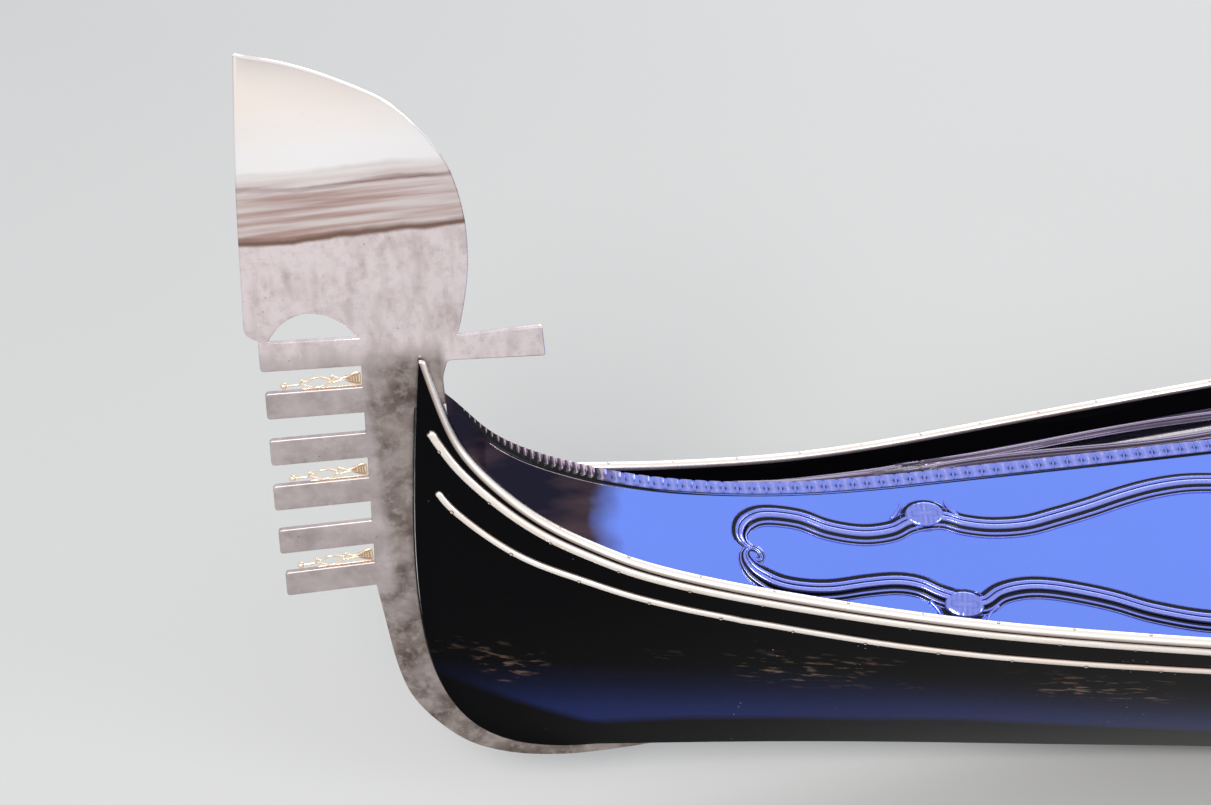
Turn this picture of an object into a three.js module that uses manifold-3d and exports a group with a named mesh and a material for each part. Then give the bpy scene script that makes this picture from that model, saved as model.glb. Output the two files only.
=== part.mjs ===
// A Venetian gondola, 11 m long, afloat and empty, as an assembly of its planks, posts, decks,
// bow and stern irons, rubbing strips, lockers, seats and rowlock.
// Millimetres. +X runs to the bow, +Y to port, +Z up. The origin lies on the waterline, amidships,
// on the line from stem to stern post. The hull is lopsided, as a gondola is: wider to port.
import * as THREE from "three";
import { mergeVertices } from "three/addons/utils/BufferGeometryUtils.js";
import Module from "manifold-3d";

const wasm = await Module();
wasm.setup();

// Driving dimensions
const STEM_X = 5250; // the stem head
const STEM_Z = 1120;
const STERN_X = -5560; // the stern head
const STERN_Z = 1230;
const PLANK = 20; // side plank thickness
const BOTTOM = 22; // bottom plank thickness
const BOTTOM_Z = -115; // the bottom is level here amidships
const DECK = 12; // deck thickness
const POST_HALF = 6.6; // half the thickness of the stem and stern posts
const INNER_MIN = 7; // the planks never come closer than this to the middle plane
const GAP = 0.3; // left between pieces that touch
const FOREDECK = { bow: 5182, cockpit: 2352 };
const AFTERDECK = { cockpit: -2002, stern: -5480 };
const DECK_DROP = 45; // the deck's edge lies this far below the rim
const IRON = 9; // bow iron thickness
const STERN_IRON = 8;
const FLOOR_Z = -6; // top of the cockpit floor
const FLOOR = 16; // floor board thickness
const DOOR = 14; // locker door thickness

// The rim, where the side planks end: x, height, half-breadth to port, half-breadth to starboard
const RIM = [
  [5250, 1120, 16, 13], [5220, 981, 26, 22], [5190, 913, 40, 36], [5150, 863, 58, 54],
  [5100, 818, 81, 77], [5050, 786, 104, 99], [4990, 758, 129, 124], [4930, 736, 154, 143],
  [4860, 717, 179, 156], [4800, 704, 198, 165], [4590, 665, 254, 197], [4370, 636, 312, 240],
  [4150, 618, 366, 285], [3950, 605, 411, 322], [3250, 563, 541, 436], [2250, 512, 685, 534],
  [1250, 474, 781, 583], [0, 451, 831, 597], [-1250, 463, 790, 570], [-2250, 493, 700, 502],
  [-3250, 560, 556, 396], [-4000, 640, 430, 305], [-4500, 720, 330, 234], [-4900, 820, 240, 172],
  [-5150, 915, 178, 130], [-5350, 1027, 118, 90], [-5480, 1130, 62, 48], [-5560, 1230, 16, 13],
];
// The edge of the flat bottom, in the same columns
const CHINE = [
  [5000, 172, 16, 13], [4680, 150, 46, 37], [4400, 128, 76, 60], [4100, 104, 113, 89],
  [3760, 76, 154, 123], [3250, 34, 232, 184], [2250, -40, 375, 286], [1250, -90, 478, 335],
  [600, -115, 508, 347], [-600, -115, 507, 343], [-1250, -92, 478, 323], [-2250, -45, 375, 256],
  [-3250, 28, 235, 166], [-4000, 100, 132, 98], [-4500, 158, 70, 56], [-4850, 210, 36, 32],
  [-5050, 255, 16, 13],
];
// The ridge of each deck: x, height
const FORE_RIDGE = [
  [5215, 1044], [5186, 1005], [5155, 961], [5108, 914], [5052, 877], [4982, 841], [4909, 811],
  [4773, 772], [4634, 747], [4524, 736], [4304, 729], [4080, 725], [3806, 721], [3250, 711],
  [2350, 690],
];
const AFT_RIDGE = [
  [-2000, 662], [-3250, 700], [-4000, 772], [-4500, 850], [-4900, 945], [-5150, 1032],
  [-5350, 1130], [-5490, 1215],
];
// The half-round capping on the rim, and the two half-round strips on the planks below it
const CAPPING = { height: 11, overhang: 1.5 };
const STRIPS = [
  { name: "middle", width: 17, height: 8, column: 1, from: 5235, to: -5525 },
  { name: "lower", width: 14, height: 7, column: 2, from: 5220, to: -5525 },
];
// How far below the rim the centres of the middle and lower strips run: x, middle, lower
const STRIP_DEPTHS = [
  [5250, 105, 190], [5235, 67, 159], [5220, 40, 132], [5200, 26, 112], [5150, 17, 92],
  [5065, 13, 77], [4980, 11.5, 67], [4860, 11.5, 69], [4630, 11.5, 80], [4250, 11.5, 88],
  [3900, 11.5, 86], [0, 11.5, 88], [-4500, 11.5, 88], [-5150, 13, 92], [-5350, 15, 105],
  [-5480, 19, 122], [-5560, 24, 135],
];
// Where the cross-sections stand, as x at the rim
const BOW_STATIONS = [
  5250, 5235, 5220, 5190, 5150, 5100, 5050, 4990, 4930, 4860, 4760, 4590, 4370, 4150, 3950, 3600,
  3250, 2800, 2350,
];
const MIDDLE_STATIONS = [2350, 1800, 1250, 600, 0, -600, -1250, -2000];
const STERN_STATIONS = [
  -2000, -2600, -3250, -3650, -4000, -4300, -4500, -4700, -4900, -5050, -5150, -5250, -5350,
  -5420, -5480, -5525, -5560,
];

// Interpolation

// A natural cubic through the rows of a table, as a function of the first column
function smooth(table, column) {
  const rows = [...table].sort((a, b) => a[0] - b[0]);
  const x = rows.map((row) => row[0]);
  const y = rows.map((row) => row[column]);
  const last = x.length - 1;
  const bend = new Array(last + 1).fill(0);
  const work = new Array(last + 1).fill(0);
  for (let i = 1; i < last; i++) {
    const share = (x[i] - x[i - 1]) / (x[i + 1] - x[i - 1]);
    const pivot = share * bend[i - 1] + 2;
    const turn = (y[i + 1] - y[i]) / (x[i + 1] - x[i]) - (y[i] - y[i - 1]) / (x[i] - x[i - 1]);
    bend[i] = (share - 1) / pivot;
    work[i] = ((6 * turn) / (x[i + 1] - x[i - 1]) - share * work[i - 1]) / pivot;
  }
  for (let i = last - 1; i >= 0; i--) bend[i] = bend[i] * bend[i + 1] + work[i];
  return (at) => {
    const found = x.findIndex((value) => value >= at);
    const k = Math.min(Math.max(found < 0 ? last : found, 1), last);
    const h = x[k] - x[k - 1];
    const a = (x[k] - at) / h;
    const b = (at - x[k - 1]) / h;
    const sag = ((a ** 3 - a) * bend[k - 1] + (b ** 3 - b) * bend[k]) * h * h;
    return a * y[k - 1] + b * y[k] + sag / 6;
  };
}

const mix = (a, b, t) => a + (b - a) * t;
const clamp = (value, low, high) => Math.min(Math.max(value, low), high);

// Hull form

const PORT = 1;
const STARBOARD = -1;
const SIDES = [["port", PORT], ["starboard", STARBOARD]];
const rimZ = smooth(RIM, 1);
const rimY = { [PORT]: smooth(RIM, 2), [STARBOARD]: smooth(RIM, 3) };
const rocker = smooth(CHINE, 1);
const chineZ = (x) => Math.max(rocker(x), BOTTOM_Z);
const chineY = { [PORT]: smooth(CHINE, 2), [STARBOARD]: smooth(CHINE, 3) };
const foreRidgeZ = smooth(FORE_RIDGE, 1);
const aftRidgeZ = smooth(AFT_RIDGE, 1);

// Each end: the head, how far inboard of it the chine ends, over what length the sections lean
// that way, and the two middle control points of the post's profile, as (x, z)
const BOW = { head: STEM_X, lead: 250, reach: 600, low: [5325, 190], high: [5352, 420] };
const STERN = { head: STERN_X, lead: -510, reach: 1200, low: [-5330, 300], high: [-5500, 640] };

// How much the section at x belongs to an end's post, from 1 at the head to 0
const hold = (end, x) => clamp(1 - Math.abs(x - end.head) / end.reach, 0, 1) ** 2;
const chineX = (x) => x - BOW.lead * hold(BOW, x) - STERN.lead * hold(STERN, x);

// A point of a side plank's outer face: v runs from 0 at the chine to 1 at the rim
function outerPoint(side, x, v) {
  const foot = [chineX(x), chineZ(chineX(x))];
  const top = [x, rimZ(x)];
  let low = [mix(foot[0], top[0], 1 / 3), mix(foot[1], top[1], 1 / 3)];
  let high = [mix(foot[0], top[0], 2 / 3), mix(foot[1], top[1], 2 / 3)];
  for (const end of [BOW, STERN]) {
    const weight = hold(end, x);
    low = low.map((value, k) => mix(value, end.low[k], weight));
    high = high.map((value, k) => mix(value, end.high[k], weight));
  }
  const u = 1 - v;
  const along = (k) =>
    u ** 3 * foot[k] + 3 * u * u * v * low[k] + 3 * u * v * v * high[k] + v ** 3 * top[k];
  const narrow = chineY[side](foot[0]);
  const wide = rimY[side](x);
  const rise = (along(1) - foot[1]) / (top[1] - foot[1]);
  const fullness = 0.06 * (wide - narrow) * Math.sin(Math.PI * rise);
  return new THREE.Vector3(along(0), side * (mix(narrow, wide, rise) + fullness), along(1));
}

// The same point on the plank's inner face
function innerPoint(side, x, v) {
  const point = outerPoint(side, x, v);
  point.y = side * Math.max(INNER_MIN, Math.abs(point.y) - PLANK);
  return point;
}

// The v at which the section at x reaches a depth below the rim
function depthToV(x, depth) {
  let low = 0;
  let high = 1;
  for (let i = 0; i < 30; i++) {
    const v = (low + high) / 2;
    if (rimZ(x) - outerPoint(PORT, x, v).z > depth) low = v;
    else high = v;
  }
  return (low + high) / 2;
}

// The v of a strip's lower and upper edges, wider apart where the strip climbs
const stripDepth = STRIPS.map(({ column }) => smooth(STRIP_DEPTHS, column));
function stripEdges(strip, x) {
  const depth = stripDepth[STRIPS.indexOf(strip)];
  const climb = (rimZ(x + 2) - depth(x + 2) - rimZ(x - 2) + depth(x - 2)) / 4;
  const half = (strip.width / 2) * Math.min(Math.hypot(1, climb), 2.5);
  return [depthToV(x, depth(x) + half), depthToV(x, depth(x) - half)];
}

// Rows of a side plank's faces: three below the strips, the strips' own edges, and the rim
function plankRows(x) {
  const edges = STRIPS.flatMap((strip) => [...stripEdges(strip, x)].reverse()).reverse();
  return [0, 0.25 * edges[0], 0.6 * edges[0], ...edges, 1];
}

// The hull's half-breadth inside the planks at x and height z
const insideY = (side, x, z) => Math.abs(innerPoint(side, x, depthToV(x, rimZ(x) - z)).y);

// Solids

// Faces are turned to point outwards all together
function closedGeometry(points, faces) {
  let volume = 0;
  for (const [a, b, c] of faces) volume += points[a].dot(points[b].clone().cross(points[c]));
  const geometry = new THREE.BufferGeometry().setFromPoints(points);
  geometry.setIndex(faces.flatMap(([a, b, c]) => (volume < 0 ? [a, c, b] : [a, b, c])));
  return geometry;
}

// Two grids of points, one over the other, joined round their edges
function thickGrid(outer, inner) {
  const rows = outer.length;
  const columns = outer[0].length;
  const points = [...outer.flat(), ...inner.flat()];
  const at = (layer, i, j) => layer * rows * columns + i * columns + j;
  const faces = [];
  const quad = (a, b, c, d) => faces.push([a, b, c], [a, c, d]);
  for (let i = 0; i < rows - 1; i++) {
    for (let j = 0; j < columns - 1; j++) {
      quad(at(0, i, j), at(0, i + 1, j), at(0, i + 1, j + 1), at(0, i, j + 1));
      quad(at(1, i, j), at(1, i, j + 1), at(1, i + 1, j + 1), at(1, i + 1, j));
    }
    const last = columns - 1;
    quad(at(0, i, 0), at(1, i, 0), at(1, i + 1, 0), at(0, i + 1, 0));
    quad(at(0, i, last), at(0, i + 1, last), at(1, i + 1, last), at(1, i, last));
  }
  for (let j = 0; j < columns - 1; j++) {
    const last = rows - 1;
    quad(at(0, 0, j), at(0, 0, j + 1), at(1, 0, j + 1), at(1, 0, j));
    quad(at(0, last, j), at(1, last, j), at(1, last, j + 1), at(0, last, j + 1));
  }
  return closedGeometry(points, faces);
}

// Rings of points joined one to the next; a loop joins the last to the first, a run has end faces
function skin(rings, loop = false) {
  const size = rings[0].length;
  const faces = [];
  for (let i = 0; i < (loop ? rings.length : rings.length - 1); i++) {
    const next = (i + 1) % rings.length;
    for (let j = 0; j < size; j++) {
      const k = (j + 1) % size;
      const [a, b, c, d] = [i * size + j, i * size + k, next * size + k, next * size + j];
      faces.push([a, b, c], [a, c, d]);
    }
  }
  const last = (rings.length - 1) * size;
  for (let j = 1; j < size - 1 && !loop; j++) {
    faces.push([0, j + 1, j], [last, last + j, last + j + 1]);
  }
  return closedGeometry(rings.flat(), faces);
}

// An outline in X and Y, raised to a thickness along Z
function raised(shape, thickness, curveSegments = 8) {
  return new THREE.ExtrudeGeometry(shape, {
    depth: thickness, bevelEnabled: false, curveSegments,
  });
}

// An outline in X and Z, with its thickness along Y and centred on y
function plate(shape, thickness, y = 0, curveSegments = 8) {
  const geometry = raised(shape, thickness, curveSegments);
  geometry.rotateX(Math.PI / 2);
  geometry.translate(0, y + thickness / 2, 0);
  return geometry;
}

// An outline in Y and Z, with its thickness from x forward
function partition(shape, thickness, x) {
  const geometry = raised(shape, thickness);
  geometry.rotateX(Math.PI / 2);
  geometry.rotateZ(Math.PI / 2);
  geometry.translate(x, 0, 0);
  return geometry;
}

function block(x0, x1, y0, y1, z0, z1) {
  const geometry = new THREE.BoxGeometry(x1 - x0, y1 - y0, z1 - z0);
  geometry.translate((x0 + x1) / 2, (y0 + y1) / 2, (z0 + z1) / 2);
  return geometry;
}

function upright(radius, x, y, z0, z1, segments = 12) {
  const geometry = new THREE.CylinderGeometry(radius, radius, z1 - z0, segments);
  geometry.rotateX(Math.PI / 2);
  geometry.translate(x, y, (z0 + z1) / 2);
  return geometry;
}

// An outline through corners of (across, up, rounding radius)
function rounded(corners) {
  const shape = new THREE.Shape();
  corners.forEach(([x, y, radius = 0], i) => {
    const [bx, by] = corners.at(i - 1);
    const [ax, ay] = corners[(i + 1) % corners.length];
    const back = Math.min(radius, Math.hypot(bx - x, by - y) / 2) / Math.hypot(bx - x, by - y);
    const on = Math.min(radius, Math.hypot(ax - x, ay - y) / 2) / Math.hypot(ax - x, ay - y);
    const start = [x + (bx - x) * back, y + (by - y) * back];
    shape[i ? "lineTo" : "moveTo"](...start);
    if (radius) shape.quadraticCurveTo(x, y, x + (ax - x) * on, y + (ay - y) * on);
  });
  shape.closePath();
  return shape;
}

function solid(geometry) {
  const bare = geometry.clone();
  bare.deleteAttribute("normal");
  bare.deleteAttribute("uv");
  const merged = mergeVertices(bare, 1e-3);
  return new wasm.Manifold(
    new wasm.Mesh({
      numProp: 3,
      vertProperties: new Float32Array(merged.attributes.position.array),
      triVerts: new Uint32Array(merged.index.array),
    }),
  );
}

// The largest body of a cut, as a geometry
function geometryOf(manifold) {
  const whole = manifold.decompose().sort((a, b) => b.volume() - a.volume())[0];
  const mesh = whole.getMesh();
  const positions = new Float32Array(mesh.numVert * 3);
  for (let i = 0; i < mesh.numVert; i++) {
    positions.set(mesh.vertProperties.subarray(i * mesh.numProp, i * mesh.numProp + 3), i * 3);
  }
  const geometry = new THREE.BufferGeometry();
  geometry.setAttribute("position", new THREE.BufferAttribute(positions, 3));
  geometry.setIndex([...mesh.triVerts]);
  return geometry;
}

const joined = (...geometries) =>
  geometryOf(geometries.map(solid).reduce((whole, next) => whole.add(next)));
const without = (geometry, cutter) => geometryOf(solid(geometry).subtract(solid(cutter)));

// A piece cut to fit its neighbours, each first moved towards it by the gap
function fitted(geometry, neighbours) {
  let made = solid(geometry);
  for (const [names, direction] of neighbours) {
    for (const name of names) {
      made = made.subtract(solid(pieces[name]).translate(direction.map((value) => value * GAP)));
    }
  }
  return geometryOf(made);
}

const UP = [0, 0, 1];
const DOWN = [0, 0, -1];
const INBOARD = { [PORT]: [0, -1.5, 0], [STARBOARD]: [0, 1.5, 0] };

// Materials
const paint = (color, roughness, metalness = 0) =>
  new THREE.MeshStandardMaterial({ color, roughness, metalness });
const blackLacquer = paint(0x060608, 0.12);
const blueLacquer = paint(0x4a62e0, 0.12, 0.3);
const blackBottom = paint(0x101012, 0.6);
const steel = paint(0xb9a9a8, 0.3, 1);
const paleMetal = paint(0xe6dcd2, 0.25, 1);
const brass = paint(0xc98f3c, 0.25, 1);
const blackWood = paint(0x0c0b0c, 0.35);
const floorWood = paint(0x4a2f1c, 0.6);
const walnut = paint(0x7a4a26, 0.45);
const velvet = paint(0x7a1020, 0.9);

const gondola = new THREE.Group();
gondola.name = "gondola";
const pieces = {};

function add(name, geometry, material) {
  const mesh = new THREE.Mesh(geometry, material);
  mesh.name = name;
  gondola.add(mesh);
  pieces[name] = geometry;
}

// Side planks, in three lengths scarfed end to end

const LENGTHS = [["bow", BOW_STATIONS], ["middle", MIDDLE_STATIONS], ["stern", STERN_STATIONS]];
const ALL_STATIONS = LENGTHS.flatMap(([, list], i) => (i ? list.slice(1) : list));

// The stations of a length, which stops short of the next one
const cutShort = (stations) =>
  stations.map((x, i) => (i === stations.length - 1 && x !== STERN_X ? x + GAP : x));

function sidePlank(side, stations) {
  const cut = cutShort(stations);
  const face = (point) =>
    stations.map((x, i) => plankRows(x).map((v) => point(side, cut[i], v)));
  return thickGrid(face(outerPoint), face(innerPoint));
}

for (const [word, side] of SIDES) {
  for (const [length, stations] of LENGTHS) {
    add(`${word}_plank_${length}`, sidePlank(side, stations), blackLacquer);
  }
}
const planksOf = (word) => LENGTHS.map(([length]) => `${word}_plank_${length}`);
const bothPlanks = SIDES.map(([word, side]) => [planksOf(word), INBOARD[side]]);

// The flat bottom, between the side planks and in the same three lengths
function bottomPlank(stations) {
  const face = (lift) =>
    cutShort(stations).map((x) => {
      const at = chineX(x);
      const half = (side) => Math.max(INNER_MIN, chineY[side](at) - PLANK) - GAP;
      return [-half(STARBOARD), half(PORT)].map(
        (y) => new THREE.Vector3(at, y, chineZ(at) + lift),
      );
    });
  return thickGrid(face(0), face(BOTTOM));
}
for (const [length, stations] of LENGTHS) {
  add(`bottom_${length}`, bottomPlank(stations), blackBottom);
}
const bottoms = LENGTHS.map(([length]) => `bottom_${length}`);

// Stem and stern posts, between the planks' ends

// The hull's end in side view, from the foot up, moved outwards by an offset
function profile(end, offset, steps = 16) {
  const point = (v) => outerPoint(PORT, end.head, v);
  const outward = Math.sign(end.head);
  return Array.from({ length: steps + 1 }, (_, i) => {
    const v = i / steps;
    const here = point(v);
    const along = point(Math.min(v + 0.01, 1)).sub(point(Math.max(v - 0.01, 0))).normalize();
    return [here.x + outward * Math.abs(along.z) * offset, here.z - Math.abs(along.x) * offset];
  });
}

function post(end, top, depth) {
  const outline = (offset) => profile(end, offset).filter(([, z]) => z < top);
  const shape = new THREE.Shape();
  [...outline(-0.5), ...outline(-depth).reverse()].forEach(([x, z], i) =>
    shape[i ? "lineTo" : "moveTo"](x, z),
  );
  return fitted(plate(shape, POST_HALF * 2), [
    [bottoms, [0, 0, 2]], [bottoms, [2 * Math.sign(end.head), 0, 1]],
  ]);
}
add("stem_post", post(BOW, STEM_Z - 104, 45), blackWood);
add("stern_post", post(STERN, STERN_Z - 20, 45), blackWood);

// Rubbing strips, half-round: a capping on the rim and two strips on the planks' outer faces

const SEAT_GAP = GAP + 0.1;

function capping(side) {
  const rings = ALL_STATIONS.map((x) => {
    const outer = outerPoint(side, x, 1);
    const inner = innerPoint(side, x, 1);
    const centre = outer.clone().add(inner).multiplyScalar(0.5);
    const half = Math.abs(outer.y - inner.y) / 2;
    const slope = Math.atan2(rimZ(x + 2) - rimZ(x - 2), 4);
    const normal = new THREE.Vector3(-Math.sin(slope), 0, Math.cos(slope));
    const at = (across, lift) =>
      new THREE.Vector3(centre.x, centre.y + side * across, centre.z)
        .addScaledVector(normal, SEAT_GAP + lift * CAPPING.height);
    const wide = half + CAPPING.overhang;
    return [
      at(wide, 0), at(wide * 0.9, 0.5), at(half * 0.5, 0.92), at(-half * 0.5, 0.92),
      at(-half * 0.92, 0.5), at(-half, 0),
    ];
  });
  return skin(rings);
}

function rubbingStrip(side, strip) {
  const stations = ALL_STATIONS.filter((x) => x <= strip.from && x >= strip.to);
  const rings = stations.map((x, i) => {
    const tip = i === 0 || i === stations.length - 1 ? 0.6 : 1;
    const [low, high] = stripEdges(strip, x);
    const out = (v, height) => {
      const point = outerPoint(side, x, v);
      point.y += side * (SEAT_GAP + height * tip);
      return point;
    };
    return [
      out(high, 0), out(high, strip.height * 0.6), out((low + high) / 2, strip.height),
      out(low, strip.height * 0.6), out(low, 0),
    ];
  });
  return skin(rings);
}
for (const [word, side] of SIDES) {
  add(`${word}_upper_strip`, capping(side), paleMetal);
  for (const strip of STRIPS) {
    add(`${word}_${strip.name}_strip`, rubbingStrip(side, strip), paleMetal);
  }
}

// Decks: two panels each, rising from inside the rim to a ridge

const deckDrop = (x) => DECK_DROP * clamp((5250 - x) / 400, 0, 1) * clamp((x + 5700) / 500, 0, 1);
const RIDGE_HALF_GAP = 0.4;

// A point on a deck's top, with t running from 0 at the ridge to 1 inside the side plank
function deckPoint(side, x, t, ridgeZ) {
  const edge = innerPoint(side, x, depthToV(x, deckDrop(x)));
  const crown = 0.03 * Math.abs(edge.y) * Math.sin(Math.PI * t);
  const y = mix(RIDGE_HALF_GAP, Math.abs(edge.y), t);
  return new THREE.Vector3(mix(x, edge.x, t), side * y, mix(ridgeZ(x), edge.z, t) + crown);
}

function deckPanel(word, side, stations, ridgeZ) {
  const overhang = (x) => 1 + 5 / insideY(side, x, rimZ(x));
  const columns = (x) => [0, 0.3, 0.65, overhang(x)];
  const top = stations.map((x) => columns(x).map((t) => deckPoint(side, x, t, ridgeZ)));
  const under = top.map((row) => row.map((p) => p.clone().add(new THREE.Vector3(0, 0, -DECK))));
  return fitted(thickGrid(top, under), [[planksOf(word), INBOARD[side]]]);
}
const foredeckStations = [
  FOREDECK.bow, ...BOW_STATIONS.filter((x) => x < FOREDECK.bow && x > FOREDECK.cockpit),
  FOREDECK.cockpit,
];
const afterdeckStations = [
  AFTERDECK.cockpit,
  ...STERN_STATIONS.filter((x) => x < AFTERDECK.cockpit && x > AFTERDECK.stern),
  AFTERDECK.stern,
];
for (const [word, side] of SIDES) {
  add(`${word}_foredeck`, deckPanel(word, side, foredeckStations, foreRidgeZ), blueLacquer);
  add(`${word}_afterdeck`, deckPanel(word, side, afterdeckStations, aftRidgeZ), blueLacquer);
}
const foredecks = ["port_foredeck", "starboard_foredeck"];
const afterdecks = ["port_afterdeck", "starboard_afterdeck"];

// A half-round capping along a deck's ridge
function ridgeCap(stations, ridgeZ, half, height) {
  const rings = stations.map((x) => {
    const top = ridgeZ(x);
    const flank = (side, share, lift) => {
      const breadth = Math.abs(deckPoint(side, x, 1, ridgeZ).y);
      const reach = Math.min(half, breadth - 3) / breadth;
      const point = deckPoint(side, x, share * reach, ridgeZ);
      point.z = lift(point.z);
      return point;
    };
    const foot = (z) => z + 1;
    const bulge = (z) => z + height * 0.5;
    const shoulder = () => top + height * 0.9;
    return [
      flank(PORT, 1, foot), flank(PORT, 0.95, bulge), flank(PORT, 0.5, shoulder),
      new THREE.Vector3(x, 0, top + height), flank(STARBOARD, 0.5, shoulder),
      flank(STARBOARD, 0.95, bulge), flank(STARBOARD, 1, foot), new THREE.Vector3(x, 0, top + 1.2),
    ];
  });
  return skin(rings);
}
const RIDGE = { half: 18, foreHeight: 17, aftHeight: 14 };
const foreCap = ridgeCap([5208, ...foredeckStations], foreRidgeZ, RIDGE.half, RIDGE.foreHeight);
const aftCap = ridgeCap(afterdeckStations.slice(0, -2), aftRidgeZ, RIDGE.half, RIDGE.aftHeight);
add("foredeck_ridge", fitted(foreCap, [[foredecks, UP]]), blueLacquer);
add("afterdeck_ridge", fitted(aftCap, [[afterdecks, UP], [afterdecks, [3, 0, 0]],
  [afterdecks, [-3, 0, 0]]]), blueLacquer);

// The carved moulding on each foredeck panel: a closed, waving band

// The side nearer the ridge and the side nearer the rim: x, share of the way from ridge to rim
const UPPER_RUN = [
  [4704, 0.34], [4660, 0.25], [4600, 0.28], [4545, 0.37], [4480, 0.395], [4376, 0.295],
  [4270, 0.365], [4190, 0.36], [4072, 0.283], [3940, 0.2], [3850, 0.2], [3700, 0.275],
  [3600, 0.33], [3470, 0.33], [3280, 0.2], [3080, 0.16], [2860, 0.2], [2700, 0.36],
];
const LOWER_RUN = [
  [4704, 0.7], [4660, 0.83], [4582, 0.825], [4452, 0.725], [4390, 0.78], [4300, 0.82],
  [4250, 0.74], [4184, 0.72], [4072, 0.777], [3915, 0.867], [3740, 0.8], [3600, 0.7],
  [3450, 0.82], [3290, 0.7], [3120, 0.8], [2940, 0.86], [2780, 0.8], [2690, 0.66],
];
const MOULDING = { half: 16, height: 9, sunk: 4, bowEnd: 4724, aftEnd: 2640 };

function mouldingPath(side) {
  const rows = [
    ...UPPER_RUN, [MOULDING.aftEnd, 0.52], ...[...LOWER_RUN].reverse(), [MOULDING.bowEnd, 0.52],
  ];
  return rows.map(([x, share]) => {
    const breadth = Math.abs(deckPoint(side, x, 1, foreRidgeZ).y);
    const clear = MOULDING.half + 4;
    const t = clamp(share, (RIDGE.half + clear) / breadth, 1 - clear / breadth);
    return deckPoint(side, x, t, foreRidgeZ);
  });
}

function moulding(side) {
  const path = mouldingPath(side);
  const rings = path.map((here, i) => {
    const before = here.clone().sub(path.at(i - 1)).normalize();
    const after = path[(i + 1) % path.length].clone().sub(here).normalize();
    const along = before.add(after).normalize();
    const down = deckPoint(side, here.x, 1, foreRidgeZ).sub(deckPoint(side, here.x, 0, foreRidgeZ));
    const normal = new THREE.Vector3(0, side * Math.abs(down.z), Math.abs(down.y)).normalize();
    const across = along.clone().cross(normal).normalize();
    const at = (width, height) =>
      here.clone().addScaledVector(across, width * MOULDING.half).addScaledVector(normal, height);
    const { height, sunk } = MOULDING;
    return [at(-1, -sunk), at(-1, 4), at(-0.5, height), at(0.5, height), at(1, 4), at(1, -sunk)];
  });
  return skin(rings, true);
}
for (const [word, side] of SIDES) {
  add(`${word}_moulding`, fitted(moulding(side), [[[`${word}_foredeck`], UP]]), blueLacquer);
}

// The bow iron: blade, arch, six teeth, rear arm and the long strip down the stem

// Measured from the stem head: forward, up
const TEETH = 6;
const TOOTH = { pitch: 96.4, height: 54, rootTop: 52, radius: 7 };
const toothRoot = (i) => [94 + 6.2 * i, TOOTH.rootTop - TOOTH.pitch * i];
const toothTip = (i) => [
  246 + 41 * (1 - (1 - i / 5) ** 2) + 16 * Math.max(0, 1 - 0.75 * i),
  TOOTH.rootTop - TOOTH.pitch * i + 10 * (1 - i / 5),
];
const BLADE = [
  [-70, 37, 6], [-78, 60], [-95, 132], [-103, 195], [-103, 267], [-90, 344], [-62, 408],
  [-9, 477], [72, 530], [145, 565], [221, 590, 10], [256, 330], [282, 84, 14], [256, 66],
];
const TAIL = [
  [121, -572], [113, -669], [100, -744], [79, -798], [49, -847], [9, -896], [-39, -932],
  [-112, -962], [-213, -979], [-341, -979], [-419, -972],
];
const ARM = [[-38, -100], [-38, -45, 8], [-49, -11, 8], [-217, -24, 5], [-215, 37, 5]];

function bowIron() {
  const teeth = Array.from({ length: TEETH }, (_, i) => {
    const [rootX, rootZ] = toothRoot(i);
    const [tipX, tipZ] = toothTip(i);
    const { height, radius } = TOOTH;
    return [
      ...(i ? [[rootX, rootZ]] : []), [tipX, tipZ, radius], [tipX + 4, tipZ - height, radius],
      [rootX + 3, rootZ - height],
    ];
  }).flat();
  const stem = profile(BOW, 0.8)
    .filter(([, z]) => z < STEM_Z - 100)
    .map(([x, z]) => [x - STEM_X, z - STEM_Z]);
  const under = [5000, 4920, 4840].map((x) => [x - STEM_X, chineZ(x) - 0.8 - STEM_Z]).reverse();
  const corners = [
    ...BLADE, ...teeth, ...TAIL, ...under, ...stem.slice(1), [stem.at(-1)[0] - 2, -101], ...ARM,
  ];
  const shape = rounded(corners.map(([x, z, radius]) => [x + STEM_X, z + STEM_Z, radius]));
  const arch = new THREE.Path();
  arch.moveTo(STEM_X + 245, STEM_Z + 64);
  arch.bezierCurveTo(STEM_X + 209, STEM_Z + 131, STEM_X + 138, STEM_Z + 131, STEM_X + 95,
    STEM_Z + 54);
  arch.closePath();
  shape.holes.push(arch);
  return plate(shape, IRON, 0, 4);
}
add("bow_iron", bowIron(), steel);

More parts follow.
